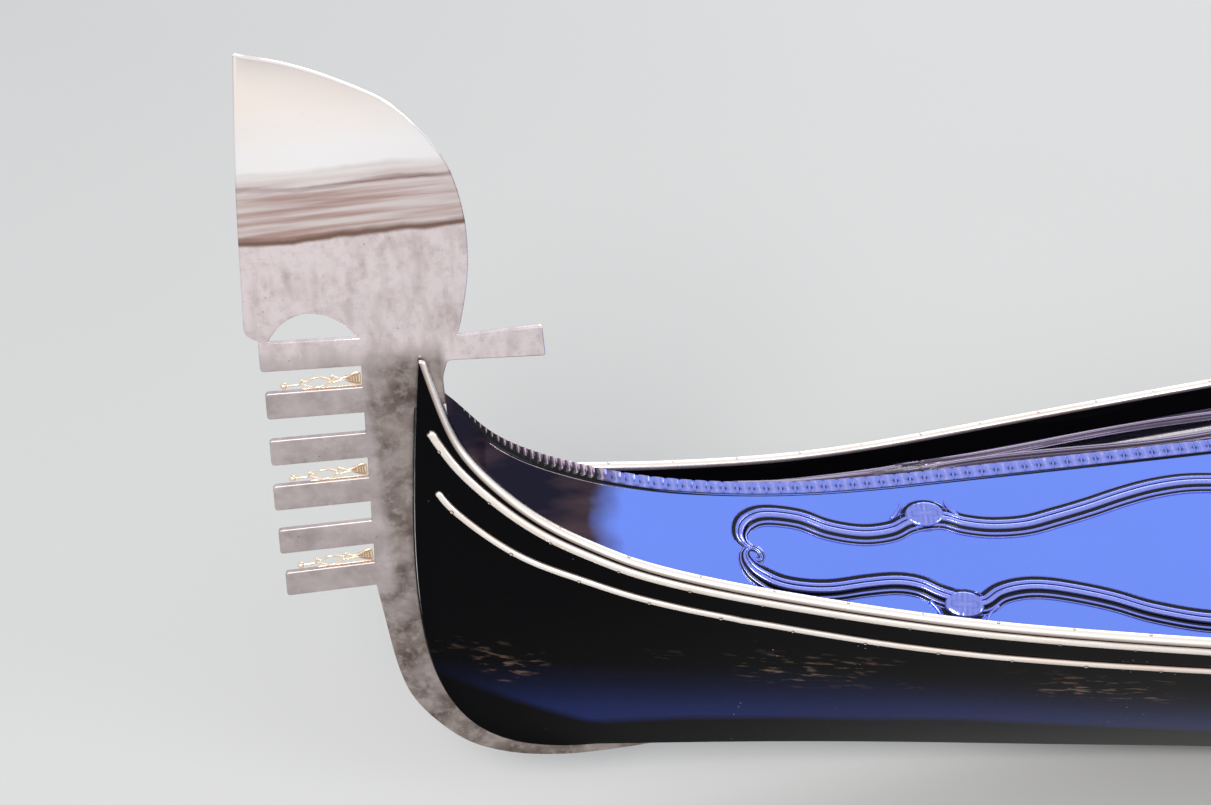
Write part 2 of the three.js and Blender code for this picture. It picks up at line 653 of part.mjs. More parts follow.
// A brass ornament in the gap below a tooth: ball, stem, leaf loop and fan, root to tip
function ornament(gap) {
  const outline = [
    [0, 0], [100, 0], [104, 7], [128, 9], [128, 12], [105, 13], [101, 19, 2], [95, 16], [80, 24, 8],
    [62, 22, 4], [53, 14], [48, 20, 2], [40, 18], [16, 23], [14, 30], [0, 30],
  ];
  const shape = rounded(outline);
  const leaf = new THREE.Path();
  leaf.absellipse(77, 13, 14, 5, 0, 2 * Math.PI, true);
  shape.holes.push(leaf);
  const ball = new THREE.SphereGeometry(5, 10, 6);
  ball.translate(131, 0, 10.5);
  const made = joined(plate(shape, 6, 0, 3), ball);
  const [rootX, rootZ] = toothRoot(gap + 1);
  const [tipX, tipZ] = toothTip(gap + 1);
  made.rotateY(-Math.atan2(tipZ - rootZ, tipX - rootX));
  made.translate(STEM_X + rootX + 1.2, 0, STEM_Z + rootZ + 0.4);
  return made;
}
[0, 2, 4].forEach((gap, i) => add(`ornament_${i + 1}`, ornament(gap), brass));

// The stern iron: a strip up the post that ends in a curl

function sternIron() {
  const head = profile(STERN, 0.8, 24).filter(([, z]) => z > 420);
  const outer = profile(STERN, 15, 24).filter(([, z]) => z > 420);
  const strip = new THREE.Shape();
  [...head, ...outer.reverse()].forEach(([x, z], i) => strip[i ? "lineTo" : "moveTo"](x, z));
  const middle = new THREE.SplineCurve(
    [[-8, -60], [-14, 20], [-42, 85], [-78, 140], [-72, 196], [-24, 212], [-2, 176], [-26, 152]].map(
      ([x, z]) => new THREE.Vector2(STERN_X + x, STERN_Z + z),
    ),
  );
  const steps = 28;
  const edge = (way) =>
    Array.from({ length: steps + 1 }, (_, i) => {
      const t = i / steps;
      const tangent = middle.getTangent(t);
      const half = 7 + 9 * Math.sin(Math.PI * Math.min(1, t * 1.15)) ** 2;
      return middle.getPoint(t).add(new THREE.Vector2(-tangent.y, tangent.x).multiplyScalar(way * half));
    });
  const curl = new THREE.Shape([...edge(1), ...edge(-1).reverse()]);
  const made = joined(plate(strip, STERN_IRON), plate(curl, STERN_IRON));
  return fitted(made, [[["stern_post"], [-3, 0, 1]]]);
}
add("stern_iron", sternIron(), steel);

// Cockpit: floor, frames, rails, thwarts, bulkheads and doors

const FRAMES = [2050, 1250, 850, 450, 50, -350, -750, -1150, -1850];
const FRAME = { width: 30, depth: 30, rail: 26, railHeight: 46, railDepth: 12 };
const THWARTS = [["fore_thwart", 1500, 1620, 400], ["aft_thwart", -1560, -1440, 395]];
const FLOOR_ENDS = [1740, -1660];

// Floor boards on cross timbers, which a keelson joins
function floorOutline(inset) {
  const [fore, aft] = FLOOR_ENDS;
  const stations = [fore, 1250, 600, 0, -600, -1250, aft];
  const edge = (side) =>
    stations.map((x) => [x, side * (insideY(side, x, FLOOR_Z - FLOOR) - FRAME.depth - inset)]);
  const shape = new THREE.Shape();
  [...edge(PORT), ...edge(STARBOARD).reverse()].forEach(([x, y], i) =>
    shape[i ? "lineTo" : "moveTo"](x, y),
  );
  return shape;
}

function floorFrames() {
  const top = FLOOR_Z - FLOOR - GAP;
  const low = -BOTTOM - 100;
  const [fore, aft] = FLOOR_ENDS;
  const keelson = block(aft + 30, fore - 30, 40, 120, low, top);
  const timbers = FRAMES.filter((x) => x < fore && x > aft).map((x) => {
    const reach = (side) => side * (chineY[side](x) - PLANK - FRAME.depth - 12);
    return block(x - 20, x + 20, reach(STARBOARD), reach(PORT), low, top);
  });
  return fitted(joined(keelson, ...timbers), [[bottoms, UP]]);
}
add("floor_frames", floorFrames(), blackWood);
const floorBoards = raised(floorOutline(14), FLOOR);
floorBoards.translate(0, 0, FLOOR_Z - FLOOR);
add("cockpit_floor", floorBoards, floorWood);

// Side frames, joined by an inner rail under the rim
function sideFrames(word, side) {
  const rib = (x) => {
    const deepest = rimZ(x) - chineZ(x) - BOTTOM / 2;
    const rings = [1, 0.75, 0.5, 0.25, 0.04].map((share) => {
      const at = innerPoint(side, x, depthToV(x, deepest * share));
      const half = FRAME.width / 2;
      return [[-half, 6], [half, 6], [half, -FRAME.depth], [-half, -FRAME.depth]].map(
        ([dx, out]) => new THREE.Vector3(x + dx, at.y + side * out, at.z),
      );
    });
    return skin(rings);
  };
  const railStations = [2330, 1800, 1250, 600, 0, -600, -1250, -1980];
  const rail = skin(
    railStations.map((x) => {
      const at = (depth, out) => {
        const point = innerPoint(side, x, depthToV(x, depth));
        point.y += side * out;
        return point;
      };
      const { rail: thick, railDepth: top, railHeight } = FRAME;
      return [at(top, 6), at(top, -thick), at(top + railHeight, -thick), at(top + railHeight, 6)];
    }),
  );
  return fitted(joined(rail, ...FRAMES.map(rib)), [
    [planksOf(word), INBOARD[side]], [bottoms, UP], [bottoms, [0, 0, 3]],
  ]);
}
for (const [word, side] of SIDES) add(`${word}_frames`, sideFrames(word, side), blackWood);

for (const [name, aft, fore, top] of THWARTS) {
  add(name, fitted(block(aft, fore, -720, 900, top - 28, top), bothPlanks), blackWood);
}

// Bulkheads under the decks' ends, each with a doorway and a hinged door
const BULKHEADS = [
  {
    name: "fore", x: 2370, faces: -1, decks: foredecks, ridgeZ: foreRidgeZ,
    door: { y0: -110, y1: 290, z0: 60, z1: 420 },
  },
  {
    name: "aft", x: -2040, faces: 1, decks: afterdecks, ridgeZ: aftRidgeZ,
    door: { y0: -100, y1: 270, z0: 40, z1: 390 },
  },
];
const BULKHEAD = 20;
const LAP = 14; // the door covers the doorway's edge by this much
const BARREL = 6;

// Where the hinge line of a door stands
const hingeLine = ({ x, faces, door }) => ({
  x: (faces > 0 ? x + BULKHEAD : x) + faces * (GAP + DOOR / 2),
  y: door.y1 + LAP + BARREL + 2,
});
const hingeHeights = ({ door }) => [door.z0 + 60, door.z1 - 60];

// The outline reaches a little into the planks, bottom and deck, which then cut it to size
function bulkhead(wall) {
  const { x, ridgeZ, door, decks } = wall;
  const foot = chineZ(x) + BOTTOM - 6;
  const edge = deckPoint(PORT, x, 1, ridgeZ).z - 6;
  const half = (side) => [
    ...[0, 0.33, 0.67].map((t) => {
      const z = mix(foot, edge, t);
      return [side * (insideY(side, x, z) + 8), z];
    }),
    ...[1.01, 0.65, 0.3, 0].map((t) => {
      const { y, z } = deckPoint(side, x, t, ridgeZ);
      return [y, z - 6];
    }),
  ];
  const corners = [...half(PORT), ...half(STARBOARD).reverse()];
  const shape = new THREE.Shape(corners.map(([y, z]) => new THREE.Vector2(y, z)));
  const opening = block(x - 50, x + 50, door.y0, door.y1, door.z0, door.z1);
  const line = hingeLine(wall);
  const face = wall.faces > 0 ? x + BULKHEAD : x;
  const knuckles = hingeHeights(wall).flatMap((z) => [
    upright(BARREL, line.x, line.y, z - 9, z + 9),
    block(Math.min(face, line.x) - 1, Math.max(face, line.x) + 1, line.y, line.y + 16, z - 9, z + 9),
  ]);
  const made = joined(without(partition(shape, BULKHEAD, x), opening), ...knuckles);
  return fitted(made, [...bothPlanks, [bottoms, UP], [decks, DOWN]]);
}

function lockerDoor(wall) {
  const { faces, door } = wall;
  const line = hingeLine(wall);
  const x0 = line.x - DOOR / 2;
  const leaf = block(x0, x0 + DOOR, door.y0 - LAP, door.y1 + LAP, door.z0 - LAP, door.z1 + LAP);
  const barrels = hingeHeights(wall).flatMap((z) =>
    [[-24, -10], [10, 24]].flatMap(([low, high]) => [
      upright(BARREL, line.x, line.y, z + low, z + high),
      block(line.x - 3, line.x + 3, door.y1, line.y, z + low, z + high),
    ]),
  );
  const knob = new THREE.CylinderGeometry(11, 7, 24, 14);
  knob.rotateZ((-Math.PI / 2) * faces);
  knob.translate(line.x + faces * (DOOR / 2 + 10), door.y0 + 30, (door.z0 + door.z1) / 2);
  return joined(leaf, knob, ...barrels);
}
for (const wall of BULKHEADS) {
  add(`${wall.name}_bulkhead`, bulkhead(wall), blackWood);
  add(`${wall.name}_locker_door`, lockerDoor(wall), blackWood);
}

// The rower's platform: a board over the afterdeck's ridge, on two bearers
const PLATFORM = { fore: -2750, aft: -3450, half: 230, top: 742, board: 22, bearer: 40 };
function sternPlatform() {
  const { fore, aft, half, top, board, bearer } = PLATFORM;
  const shape = rounded([
    [fore, -half * 0.8, 30], [fore, half, 30], [aft, half * 0.8, 30], [aft, -half * 0.65, 30],
  ]);
  const deckBoard = raised(shape, board);
  deckBoard.translate(0, 0, top - board);
  const bearers = [-half * 0.6, half * 0.55].map((y) =>
    block(aft + 20, fore - 20, y, y + bearer, top - 170, top - board / 2),
  );
  return fitted(joined(deckBoard, ...bearers), [[afterdecks, UP], [["afterdeck_ridge"], UP]]);
}
add("stern_platform", sternPlatform(), blackWood);

// Main seat, with its back and cushions

const SEAT = { x0: -1000, x1: -420, y0: -300, y1: 480, top: 240, board: 24, back: 26, cushion: 90 };
function seatBase() {
  const { x0, x1, y0, y1, top, board } = SEAT;
  const floor = FLOOR_Z + GAP;
  return joined(
    block(x0, x1, y0, y1, top - board, top),
    block(x1 - board, x1 - 0.01, y0 + 10, y1 - 10, floor, top - 1),
    block(x0 + 10, x1 - 1, y0 + 10, y0 + 10 + board, floor, top - 1),
    block(x0 + 10, x1 - 1, y1 - 10 - board, y1 - 10, floor, top - 1),
  );
}
add("seat_base", seatBase(), blackWood);

function seatBack() {
  const { x0, y0, y1, top } = SEAT;
  const shape = rounded([
    [y0, top - 20], [y1, top - 20], [y1 + 20, top + 330, 60], [y1 - 120, top + 400, 80],
    [(y0 + y1) / 2, top + 540, 120], [y0 + 120, top + 400, 80], [y0 - 20, top + 330, 60],
  ]);
  return partition(shape, SEAT.back, x0 - SEAT.back - GAP);
}
add("seat_back", seatBack(), blackWood);
add("seat_cushion", block(SEAT.x0 + 100, SEAT.x1 - 6, SEAT.y0 + 8, SEAT.y1 - 8, SEAT.top + GAP,
  SEAT.top + SEAT.cushion), velvet);
add("back_cushion", block(SEAT.x0 + GAP, SEAT.x0 + 90, SEAT.y0 + 30, SEAT.y1 - 30,
  SEAT.top + GAP, SEAT.top + 400), velvet);

// Two side stools
const STOOLS = [
  { word: "port", x: 560, y: 330 },
  { word: "starboard", x: 560, y: -160 },
];
const STOOL = { half: 150, top: 215, leg: 16, board: 22, cushion: 60 };
for (const { word, x, y } of STOOLS) {
  const { half, top, leg, board, cushion } = STOOL;
  const floor = FLOOR_Z + GAP;
  const legs = [[-1, -1], [-1, 1], [1, -1], [1, 1]].map(([i, j]) =>
    upright(leg, x + i * (half - 24), y + j * (half - 24), floor, top - 1, 10),
  );
  add(`${word}_stool`,
    joined(block(x - half, x + half, y - half, y + half, top - board, top), ...legs), blackWood);
  add(`${word}_stool_cushion`,
    block(x - half + 8, x + half - 8, y - half + 8, y + half - 8, top + GAP, top + cushion), velvet);
}

// The rowlock on its block, on the starboard side beside the rower

const ROWLOCK = { x: -2420, y: -398, thick: 46, seat: 536 };
const rowlockBlock = block(ROWLOCK.x - 100, ROWLOCK.x + 100, ROWLOCK.y - 32, ROWLOCK.y + 40,
  ROWLOCK.seat - 64, ROWLOCK.seat);
add("rowlock_block", fitted(rowlockBlock, [[["starboard_afterdeck"], UP]]), blackWood);

// Forward, up, from the foot round to the two horns and back
const ROWLOCK_OUTLINE = [
  [-38, 0], [38, 0], [42, 80], [34, 150], [50, 210], [96, 250], [112, 285], [98, 312], [68, 320],
  [50, 352], [54, 400], [78, 440], [84, 478], [70, 500], [52, 494], [42, 466], [24, 450], [4, 458],
  [-6, 490], [-14, 530], [-34, 546], [-52, 530], [-58, 470], [-46, 400], [-52, 330], [-66, 260],
  [-58, 180], [-46, 90],
];
function rowlock() {
  const { x, y, thick, seat } = ROWLOCK;
  const points = ROWLOCK_OUTLINE.map(([f, w]) => new THREE.Vector2(x + f, seat + GAP + w));
  return plate(new THREE.Shape(points), thick, y);
}
add("rowlock", rowlock(), walnut);

export default gondola;
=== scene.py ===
"""Looks for a Venetian gondola, built around its packed solids.

Laid out as an add-on and run as a script. Metres, with the bow along +X, port along +Y and the
waterline at z = 0. Lengths in the tables below are millimetres, as in the part's source, and only
the lights and the camera are placed in metres.
"""

import functools
import math

import bmesh
import bpy
import numpy as np
from mathutils import Matrix, Vector
from mathutils.bvhtree import BVHTree


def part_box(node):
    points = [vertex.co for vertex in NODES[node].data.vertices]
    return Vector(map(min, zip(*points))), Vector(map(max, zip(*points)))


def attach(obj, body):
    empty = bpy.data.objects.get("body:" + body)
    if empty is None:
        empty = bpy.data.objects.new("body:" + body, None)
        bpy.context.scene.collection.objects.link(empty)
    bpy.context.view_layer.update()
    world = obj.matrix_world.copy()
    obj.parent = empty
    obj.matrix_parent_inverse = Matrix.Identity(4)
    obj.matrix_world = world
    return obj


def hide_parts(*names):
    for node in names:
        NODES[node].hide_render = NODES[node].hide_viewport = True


bl_info = {
    "name": "Gondola Looks",
    "version": (1, 0, 0),
    "blender": (4, 5, 0),
    "location": "3D View > Sidebar > Gondola",
    "description": "Builds the gondola's finished pieces, materials, lights and camera",
    "category": "Add Mesh",
}

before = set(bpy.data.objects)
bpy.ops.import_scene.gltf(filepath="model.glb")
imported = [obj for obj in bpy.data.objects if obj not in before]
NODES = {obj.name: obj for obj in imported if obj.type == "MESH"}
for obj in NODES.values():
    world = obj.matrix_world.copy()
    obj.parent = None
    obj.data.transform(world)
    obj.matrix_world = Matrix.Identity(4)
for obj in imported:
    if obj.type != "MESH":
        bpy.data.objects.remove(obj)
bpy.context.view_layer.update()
# A millimetre in metres, and a metre in millimetres
MM, METRE = 0.001, 1000
PORT, STARBOARD = 1, -1
SIDES = (("port", PORT), ("starboard", STARBOARD))

# Driving dimensions, the same as in the part's source
STEM_X, STEM_Z = 5250, 1120
STERN_X, STERN_Z = -5560, 1230
PLANK, BOTTOM_Z, DECK = 20, -115, 12
INNER_MIN, GAP, SEAT_GAP = 7, 0.3, 0.4
FOREDECK = (5182, 2352)
AFTERDECK = (-2002, -5480)
DECK_DROP = 45
# Where the decks' edges would reach the rim, and over what length they sink from it
FORE_RISE, AFT_RISE = (STEM_X, 400), (-5700, 500)
FLOOR_Z, FLOOR = -6, 16

# The rim: x, height, half-breadth to port, half-breadth to starboard
RIM = [
    (5250, 1120, 16, 13), (5220, 981, 26, 22), (5190, 913, 40, 36), (5150, 863, 58, 54),
    (5100, 818, 81, 77), (5050, 786, 104, 99), (4990, 758, 129, 124), (4930, 736, 154, 143),
    (4860, 717, 179, 156), (4800, 704, 198, 165), (4590, 665, 254, 197), (4370, 636, 312, 240),
    (4150, 618, 366, 285), (3950, 605, 411, 322), (3250, 563, 541, 436), (2250, 512, 685, 534),
    (1250, 474, 781, 583), (0, 451, 831, 597), (-1250, 463, 790, 570), (-2250, 493, 700, 502),
    (-3250, 560, 556, 396), (-4000, 640, 430, 305), (-4500, 720, 330, 234), (-4900, 820, 240, 172),
    (-5150, 915, 178, 130), (-5350, 1027, 118, 90), (-5480, 1130, 62, 48), (-5560, 1230, 16, 13),
]
# The edge of the flat bottom, in the same columns
CHINE = [
    (5000, 172, 16, 13), (4680, 150, 46, 37), (4400, 128, 76, 60), (4100, 104, 113, 89),
    (3760, 76, 154, 123), (3250, 34, 232, 184), (2250, -40, 375, 286), (1250, -90, 478, 335),
    (600, -115, 508, 347), (-600, -115, 507, 343), (-1250, -92, 478, 323), (-2250, -45, 375, 256),
    (-3250, 28, 235, 166), (-4000, 100, 132, 98), (-4500, 158, 70, 56), (-4850, 210, 36, 32),
    (-5050, 255, 16, 13),
]
# The ridge of each deck: x, height
FORE_RIDGE = [
    (5215, 1044), (5186, 1005), (5155, 961), (5108, 914), (5052, 877), (4982, 841), (4909, 811),
    (4773, 772), (4634, 747), (4524, 736), (4304, 729), (4080, 725), (3806, 721), (3250, 711),
    (2350, 690),
]
AFT_RIDGE = [
    (-2000, 662), (-3250, 700), (-4000, 772), (-4500, 850), (-4900, 945), (-5150, 1032),
    (-5350, 1130), (-5490, 1215),
]
CAPPING = {"height": 11, "overhang": 1.5}
# Each strip: its column in the table of depths, and its nails' place from -1 at its lower edge to 1
STRIPS = [
    {"name": "middle", "width": 17, "height": 8, "column": 1, "ends": (5235, -5525), "nails": -0.62},
    {"name": "lower", "width": 14, "height": 7, "column": 2, "ends": (5220, -5525), "nails": -0.3},
]
# How far below the rim the middle and lower strips run: x, middle, lower
STRIP_DEPTHS = [
    (5250, 105, 190), (5235, 67, 159), (5220, 40, 132), (5200, 26, 112), (5150, 17, 92),
    (5065, 13, 77), (4980, 11.5, 67), (4860, 11.5, 69), (4630, 11.5, 80), (4250, 11.5, 88),
    (3900, 11.5, 86), (0, 11.5, 88), (-4500, 11.5, 88), (-5150, 13, 92), (-5350, 15, 105),
    (-5480, 19, 122), (-5560, 24, 135),
]
# Each end: its head, how far inboard the chine ends, over what length the sections lean that way,
# and the two middle control points of the post's profile
BOW = {"head": STEM_X, "lead": 250, "reach": 600, "low": (5325, 190), "high": (5352, 420)}
STERN = {"head": STERN_X, "lead": -510, "reach": 1200, "low": (-5330, 300), "high": (-5500, 640)}
# Within this distance of an end the hull bends quickly, so its cross-sections are close together
NEAR_END = 600


# Hull form

def mix(a, b, t):
    return a + (b - a) * t


def smooth(table, column):
    """A natural cubic through the rows of a table, as a function of the first column."""
    rows = np.array(sorted(table), float)
    x, y = rows[:, 0], rows[:, column]
    step = np.diff(x)
    matrix, turn = np.eye(len(x)), np.zeros(len(x))
    for i in range(1, len(x) - 1):
        matrix[i, i - 1:i + 2] = step[i - 1], 2 * (step[i - 1] + step[i]), step[i]
        turn[i] = 6 * ((y[i + 1] - y[i]) / step[i] - (y[i] - y[i - 1]) / step[i - 1])
    bend = np.linalg.solve(matrix, turn)

    def at(value):
        value = np.asarray(value, float)
        k = np.clip(np.searchsorted(x, value), 1, len(x) - 1)
        a = (x[k] - value) / step[k - 1]
        b = 1 - a
        sag = ((a ** 3 - a) * bend[k - 1] + (b ** 3 - b) * bend[k]) * step[k - 1] ** 2
        return a * y[k - 1] + b * y[k] + sag / 6

    return at


rim_z = smooth(RIM, 1)
rim_y = {PORT: smooth(RIM, 2), STARBOARD: smooth(RIM, 3)}
rocker = smooth(CHINE, 1)
chine_y = {PORT: smooth(CHINE, 2), STARBOARD: smooth(CHINE, 3)}
fore_ridge_z = smooth(FORE_RIDGE, 1)
aft_ridge_z = smooth(AFT_RIDGE, 1)


def chine_z(x):
    return np.maximum(rocker(x), BOTTOM_Z)


def hold(end, x):
    """How much the section at x belongs to an end's post, from 1 at its head to 0."""
    return np.clip(1 - np.abs(x - end["head"]) / end["reach"], 0, 1) ** 2


def chine_x(x):
    return x - BOW["lead"] * hold(BOW, x) - STERN["lead"] * hold(STERN, x)


def outer(side, x, v):
    """Points on a side plank's outer face; v runs from 0 at the chine to 1 at the rim."""
    x, v = np.broadcast_arrays(np.asarray(x, float), np.asarray(v, float))
    foot = np.stack([chine_x(x), chine_z(chine_x(x))])
    top = np.stack([x, rim_z(x)])
    low, high = mix(foot, top, 1 / 3), mix(foot, top, 2 / 3)
    for end in (BOW, STERN):
        place = (2,) + (1,) * x.ndim
        low = mix(low, np.reshape(end["low"], place), hold(end, x))
        high = mix(high, np.reshape(end["high"], place), hold(end, x))
    u = 1 - v
    across, up = u ** 3 * foot + 3 * u * u * v * low + 3 * u * v * v * high + v ** 3 * top
    narrow, wide = chine_y[side](foot[0]), rim_y[side](x)
    rise = (up - foot[1]) / (top[1] - foot[1])
    fullness = 0.06 * (wide - narrow) * np.sin(np.pi * rise)
    return np.stack([across, side * (mix(narrow, wide, rise) + fullness), up], -1)


def inner(side, x, v):
    """The same points on the plank's inner face."""
    points = outer(side, x, v)
    points[..., 1] = side * np.maximum(INNER_MIN, np.abs(points[..., 1]) - PLANK)
    return points


def depth_to_v(x, depth):
    """Where the section at x reaches a depth below the rim."""
    x, depth = np.broadcast_arrays(np.asarray(x, float), np.asarray(depth, float))
    low, high = np.zeros(x.shape), np.ones(x.shape)
    for _ in range(30):
        v = (low + high) / 2
        deeper = rim_z(x) - outer(PORT, x, v)[..., 2] > depth
        low, high = np.where(deeper, v, low), np.where(deeper, high, v)
    return (low + high) / 2


def inside_y(side, x, z):
    return np.abs(inner(side, x, depth_to_v(x, rim_z(x) - z))[..., 1])


def rim_run(x):
    """Distances along the rim from the first x."""
    return np.concatenate([[0], np.cumsum(np.hypot(np.diff(x), np.diff(rim_z(x))))])


def stations(ends, step, fine=()):
    """Values of x from one end to the other, evenly spaced along the rim, closer at both ends."""
    x = np.linspace(*ends, 4000)
    run = rim_run(x)
    near = np.concatenate([[0], fine, np.arange(15, NEAR_END, 10)])
    even = np.linspace(NEAR_END, run[-1] - NEAR_END, max(2, round((run[-1] - 2 * NEAR_END) / step)))
    return np.interp(np.concatenate([near, even, (run[-1] - near)[::-1]]), run, x)


def deck_drop(x):
    """How far below the rim a deck's edge lies."""
    fore = np.clip((FORE_RISE[0] - x) / FORE_RISE[1], 0, 1)
    aft = np.clip((x - AFT_RISE[0]) / AFT_RISE[1], 0, 1)
    return DECK_DROP * fore * aft


def deck_point(side, x, t, ridge_z):
    """Points on a deck's top, with t running from 0 at the ridge to 1 inside the side plank."""
    x, t = np.broadcast_arrays(np.asarray(x, float), np.asarray(t, float))
    edge = inner(side, x, depth_to_v(x, deck_drop(x)))
    breadth = np.abs(edge[..., 1])
    crown = 0.03 * breadth * np.sin(np.pi * np.clip(t, 0, 1))
    z = mix(ridge_z(x), edge[..., 2], t) + crown
    return np.stack([mix(x, edge[..., 0], t), side * mix(0.4, breadth, t), z], -1)


def deck_up(side, x, t, ridge_z):
    """The deck's upward normals."""
    fore = deck_point(side, x + 2, t, ridge_z) - deck_point(side, x - 2, t, ridge_z)
    out = deck_point(side, x, t + 0.01, ridge_z) - deck_point(side, x, t - 0.01, ridge_z)
    up = np.cross(fore, out)
    up *= np.sign(up[..., 2:])
    return up / np.linalg.norm(up, axis=-1, keepdims=True)


# Closed shells of points

def thick(top, under):
    """Two grids of points, one over the other, joined round their edges."""
    rows, columns = top.shape[:2]

    def at(layer, i, j):
        return (layer * rows + i) * columns + j

    faces = []
    for i in range(rows - 1):
        for j in range(columns - 1):
            faces.append((at(0, i, j), at(0, i + 1, j), at(0, i + 1, j + 1), at(0, i, j + 1)))
            faces.append((at(1, i, j), at(1, i, j + 1), at(1, i + 1, j + 1), at(1, i + 1, j)))
        j = columns - 1
        faces.append((at(0, i, 0), at(1, i, 0), at(1, i + 1, 0), at(0, i + 1, 0)))
        faces.append((at(0, i, j), at(0, i + 1, j), at(1, i + 1, j), at(1, i, j)))
    for j in range(columns - 1):
        i = rows - 1
        faces.append((at(0, 0, j), at(0, 0, j + 1), at(1, 0, j + 1), at(1, 0, j)))
        faces.append((at(0, i, j), at(1, i, j), at(1, i, j + 1), at(0, i, j + 1)))
    return np.concatenate([top.reshape(-1, 3), under.reshape(-1, 3)]), faces


def skin(rings, loop=False):
    """Rings of points joined one to the next; a run has a face at each end."""
    count, size = rings.shape[:2]
    faces = []
    for i in range(count if loop else count - 1):
        near, far = i * size, (i + 1) % count * size
        for j in range(size):
            k = (j + 1) % size
            faces.append((near + j, near + k, far + k, far + j))
    if not loop:
        faces.append(tuple(range(size))[::-1])
        faces.append(tuple(range((count - 1) * size, count * size)))
    return rings.reshape(-1, 3), faces


def block(x0, x1, y0, y1, z0, z1):
    floor = [(x0, y0), (x1, y0), (x1, y1), (x0, y1)]
    return skin(np.array([[(x, y, z) for x, y in floor] for z in (z0, z1)], float))


def unit(vectors):
    return vectors / np.linalg.norm(vectors, axis=-1, keepdims=True)


def sweep(path, up, profile, loop=False, scale=1.0):
    """Rings of a profile of (across, up) carried along a path."""
    path, profile = np.asarray(path, float), np.asarray(profile, float)
    if loop:
        ahead = unit(np.roll(path, -1, 0) - np.roll(path, 1, 0))
    else:
        ahead = unit(np.gradient(path, axis=0))
    across = unit(np.cross(ahead, np.broadcast_to(up, path.shape)))
    over = np.cross(across, ahead)
    scale = np.broadcast_to(scale, len(path))[:, None, None]
    return path[:, None] + scale * (across[:, None] * profile[:, :1] + over[:, None] * profile[:, 1:])


def circle(radius, count=8):
    turn = np.linspace(0, 2 * np.pi, count, endpoint=False)
    return np.stack([radius * np.cos(turn), radius * np.sin(turn)], -1)


def tube(path, radius, up=(0, 0, 1), count=8):
    """A round rod along a path, with rounded ends; radius is one number or one for each point."""
    scale = np.broadcast_to(radius, len(path)).astype(float).copy()
    scale[[0, -1]] *= 0.45
    return skin(sweep(path, up, circle(1, count), scale=scale))


def lathe(profile, centre, axis=(0, 0, 1), count=20):
    """A turned form: (radius, distance along the axis) from one end to the other."""
    axis = unit(np.asarray(axis, float))
    side = unit(np.cross(axis, (0.3, 0.9, 0.1)))
    other = np.cross(axis, side)
    turn = np.linspace(0, 2 * np.pi, count, endpoint=False)[:, None]
    ring = np.cos(turn) * side + np.sin(turn) * other
    return skin(np.array([centre + along * axis + max(r, 0.15) * ring for r, along in profile]))


def run_along(path):
    """Distances along a path from its first point."""
    return np.concatenate([[0], np.cumsum(np.linalg.norm(np.diff(path, axis=0), axis=1))])


def through(points, step, loop=False):
    """A smooth line through points, evenly spaced."""
    points = np.asarray(points, float)
    if loop:
        ring = np.concatenate([points[-1:], points, points[:2]])
    else:
        ring = np.concatenate([2 * points[:1] - points[1:2], points, 2 * points[-1:] - points[-2:-1]])
    t = np.linspace(0, 1, 24, endpoint=False)[:, None]
    line = []
    for a, b, c, d in zip(ring, ring[1:], ring[2:], ring[3:]):
        line.append(0.5 * (2 * b + (c - a) * t + (2 * a - 5 * b + 4 * c - d) * t ** 2
                           + (3 * b - a - 3 * c + d) * t ** 3))
    line = np.concatenate(line + [points[:1] if loop else points[-1:]])
    run = run_along(line)
    even = np.linspace(0, run[-1], max(3, round(run[-1] / step) + 1))
    line = np.stack([np.interp(even, run, column) for column in line.T], -1)
    return line[:-1] if loop else line


def signed_volume(points, faces):
    total = 0.0
    for size in {len(face) for face in faces}:
        corners = points[np.array([face for face in faces if len(face) == size])]
        for k in range(1, size - 1):
            total += np.sum(corners[:, 0] * np.cross(corners[:, k], corners[:, k + 1]))
    return total


def placed(name, data):
    """A new object in the scene."""
    thing = bpy.data.objects.new(name, data)
    bpy.context.scene.collection.objects.link(thing)
    return thing


def shade(mesh, angle):
    """Shades a mesh smooth, except over edges that turn by more than an angle in degrees."""
    mesh.shade_smooth()
    mesh.set_sharp_from_angle(angle=math.radians(angle))


def paint(mesh, *finishes):
    """Gives a mesh these materials and no others."""
    mesh.materials.clear()
    for finish in finishes:
        mesh.materials.append(finish)


class Solid:
    """Closed shells in millimetres, gathered into one mesh."""

    def __init__(self):
        self.points, self.faces, self.grooves = [], [], []

    def add(self, shell, groove=0.0):
        """Adds a shell of (points, faces), turned outwards; groove is how deep each point lies."""
        points, faces = shell
        start = sum(len(part) for part in self.points)
        turned = signed_volume(points, faces) < 0
        for face in faces:
            self.faces.append([start + i for i in (face[::-1] if turned else face)])
        self.points.append(points)
        self.grooves.append(np.broadcast_to(groove, len(points)))
        return self

    def make(self, name, finish, sharp=35):
        """The finished object, in metres."""
        mesh = bpy.data.meshes.new(name)
        mesh.from_pydata((np.concatenate(self.points) * MM).tolist(), [], self.faces)
        mesh.materials.append(finish)
        groove = mesh.attributes.new("groove", "FLOAT", "POINT")
        groove.data.foreach_set("value", np.concatenate(self.grooves).astype(np.float32))
        shade(mesh, sharp)
        return placed(name, mesh)


def evaluated(thing):
    """A plain mesh of a thing as its modifiers leave it."""
    graph = bpy.context.evaluated_depsgraph_get()
    return bpy.data.meshes.new_from_object(thing.evaluated_get(graph))


def points_of(mesh):
    return np.array([vertex.co for vertex in mesh.vertices])


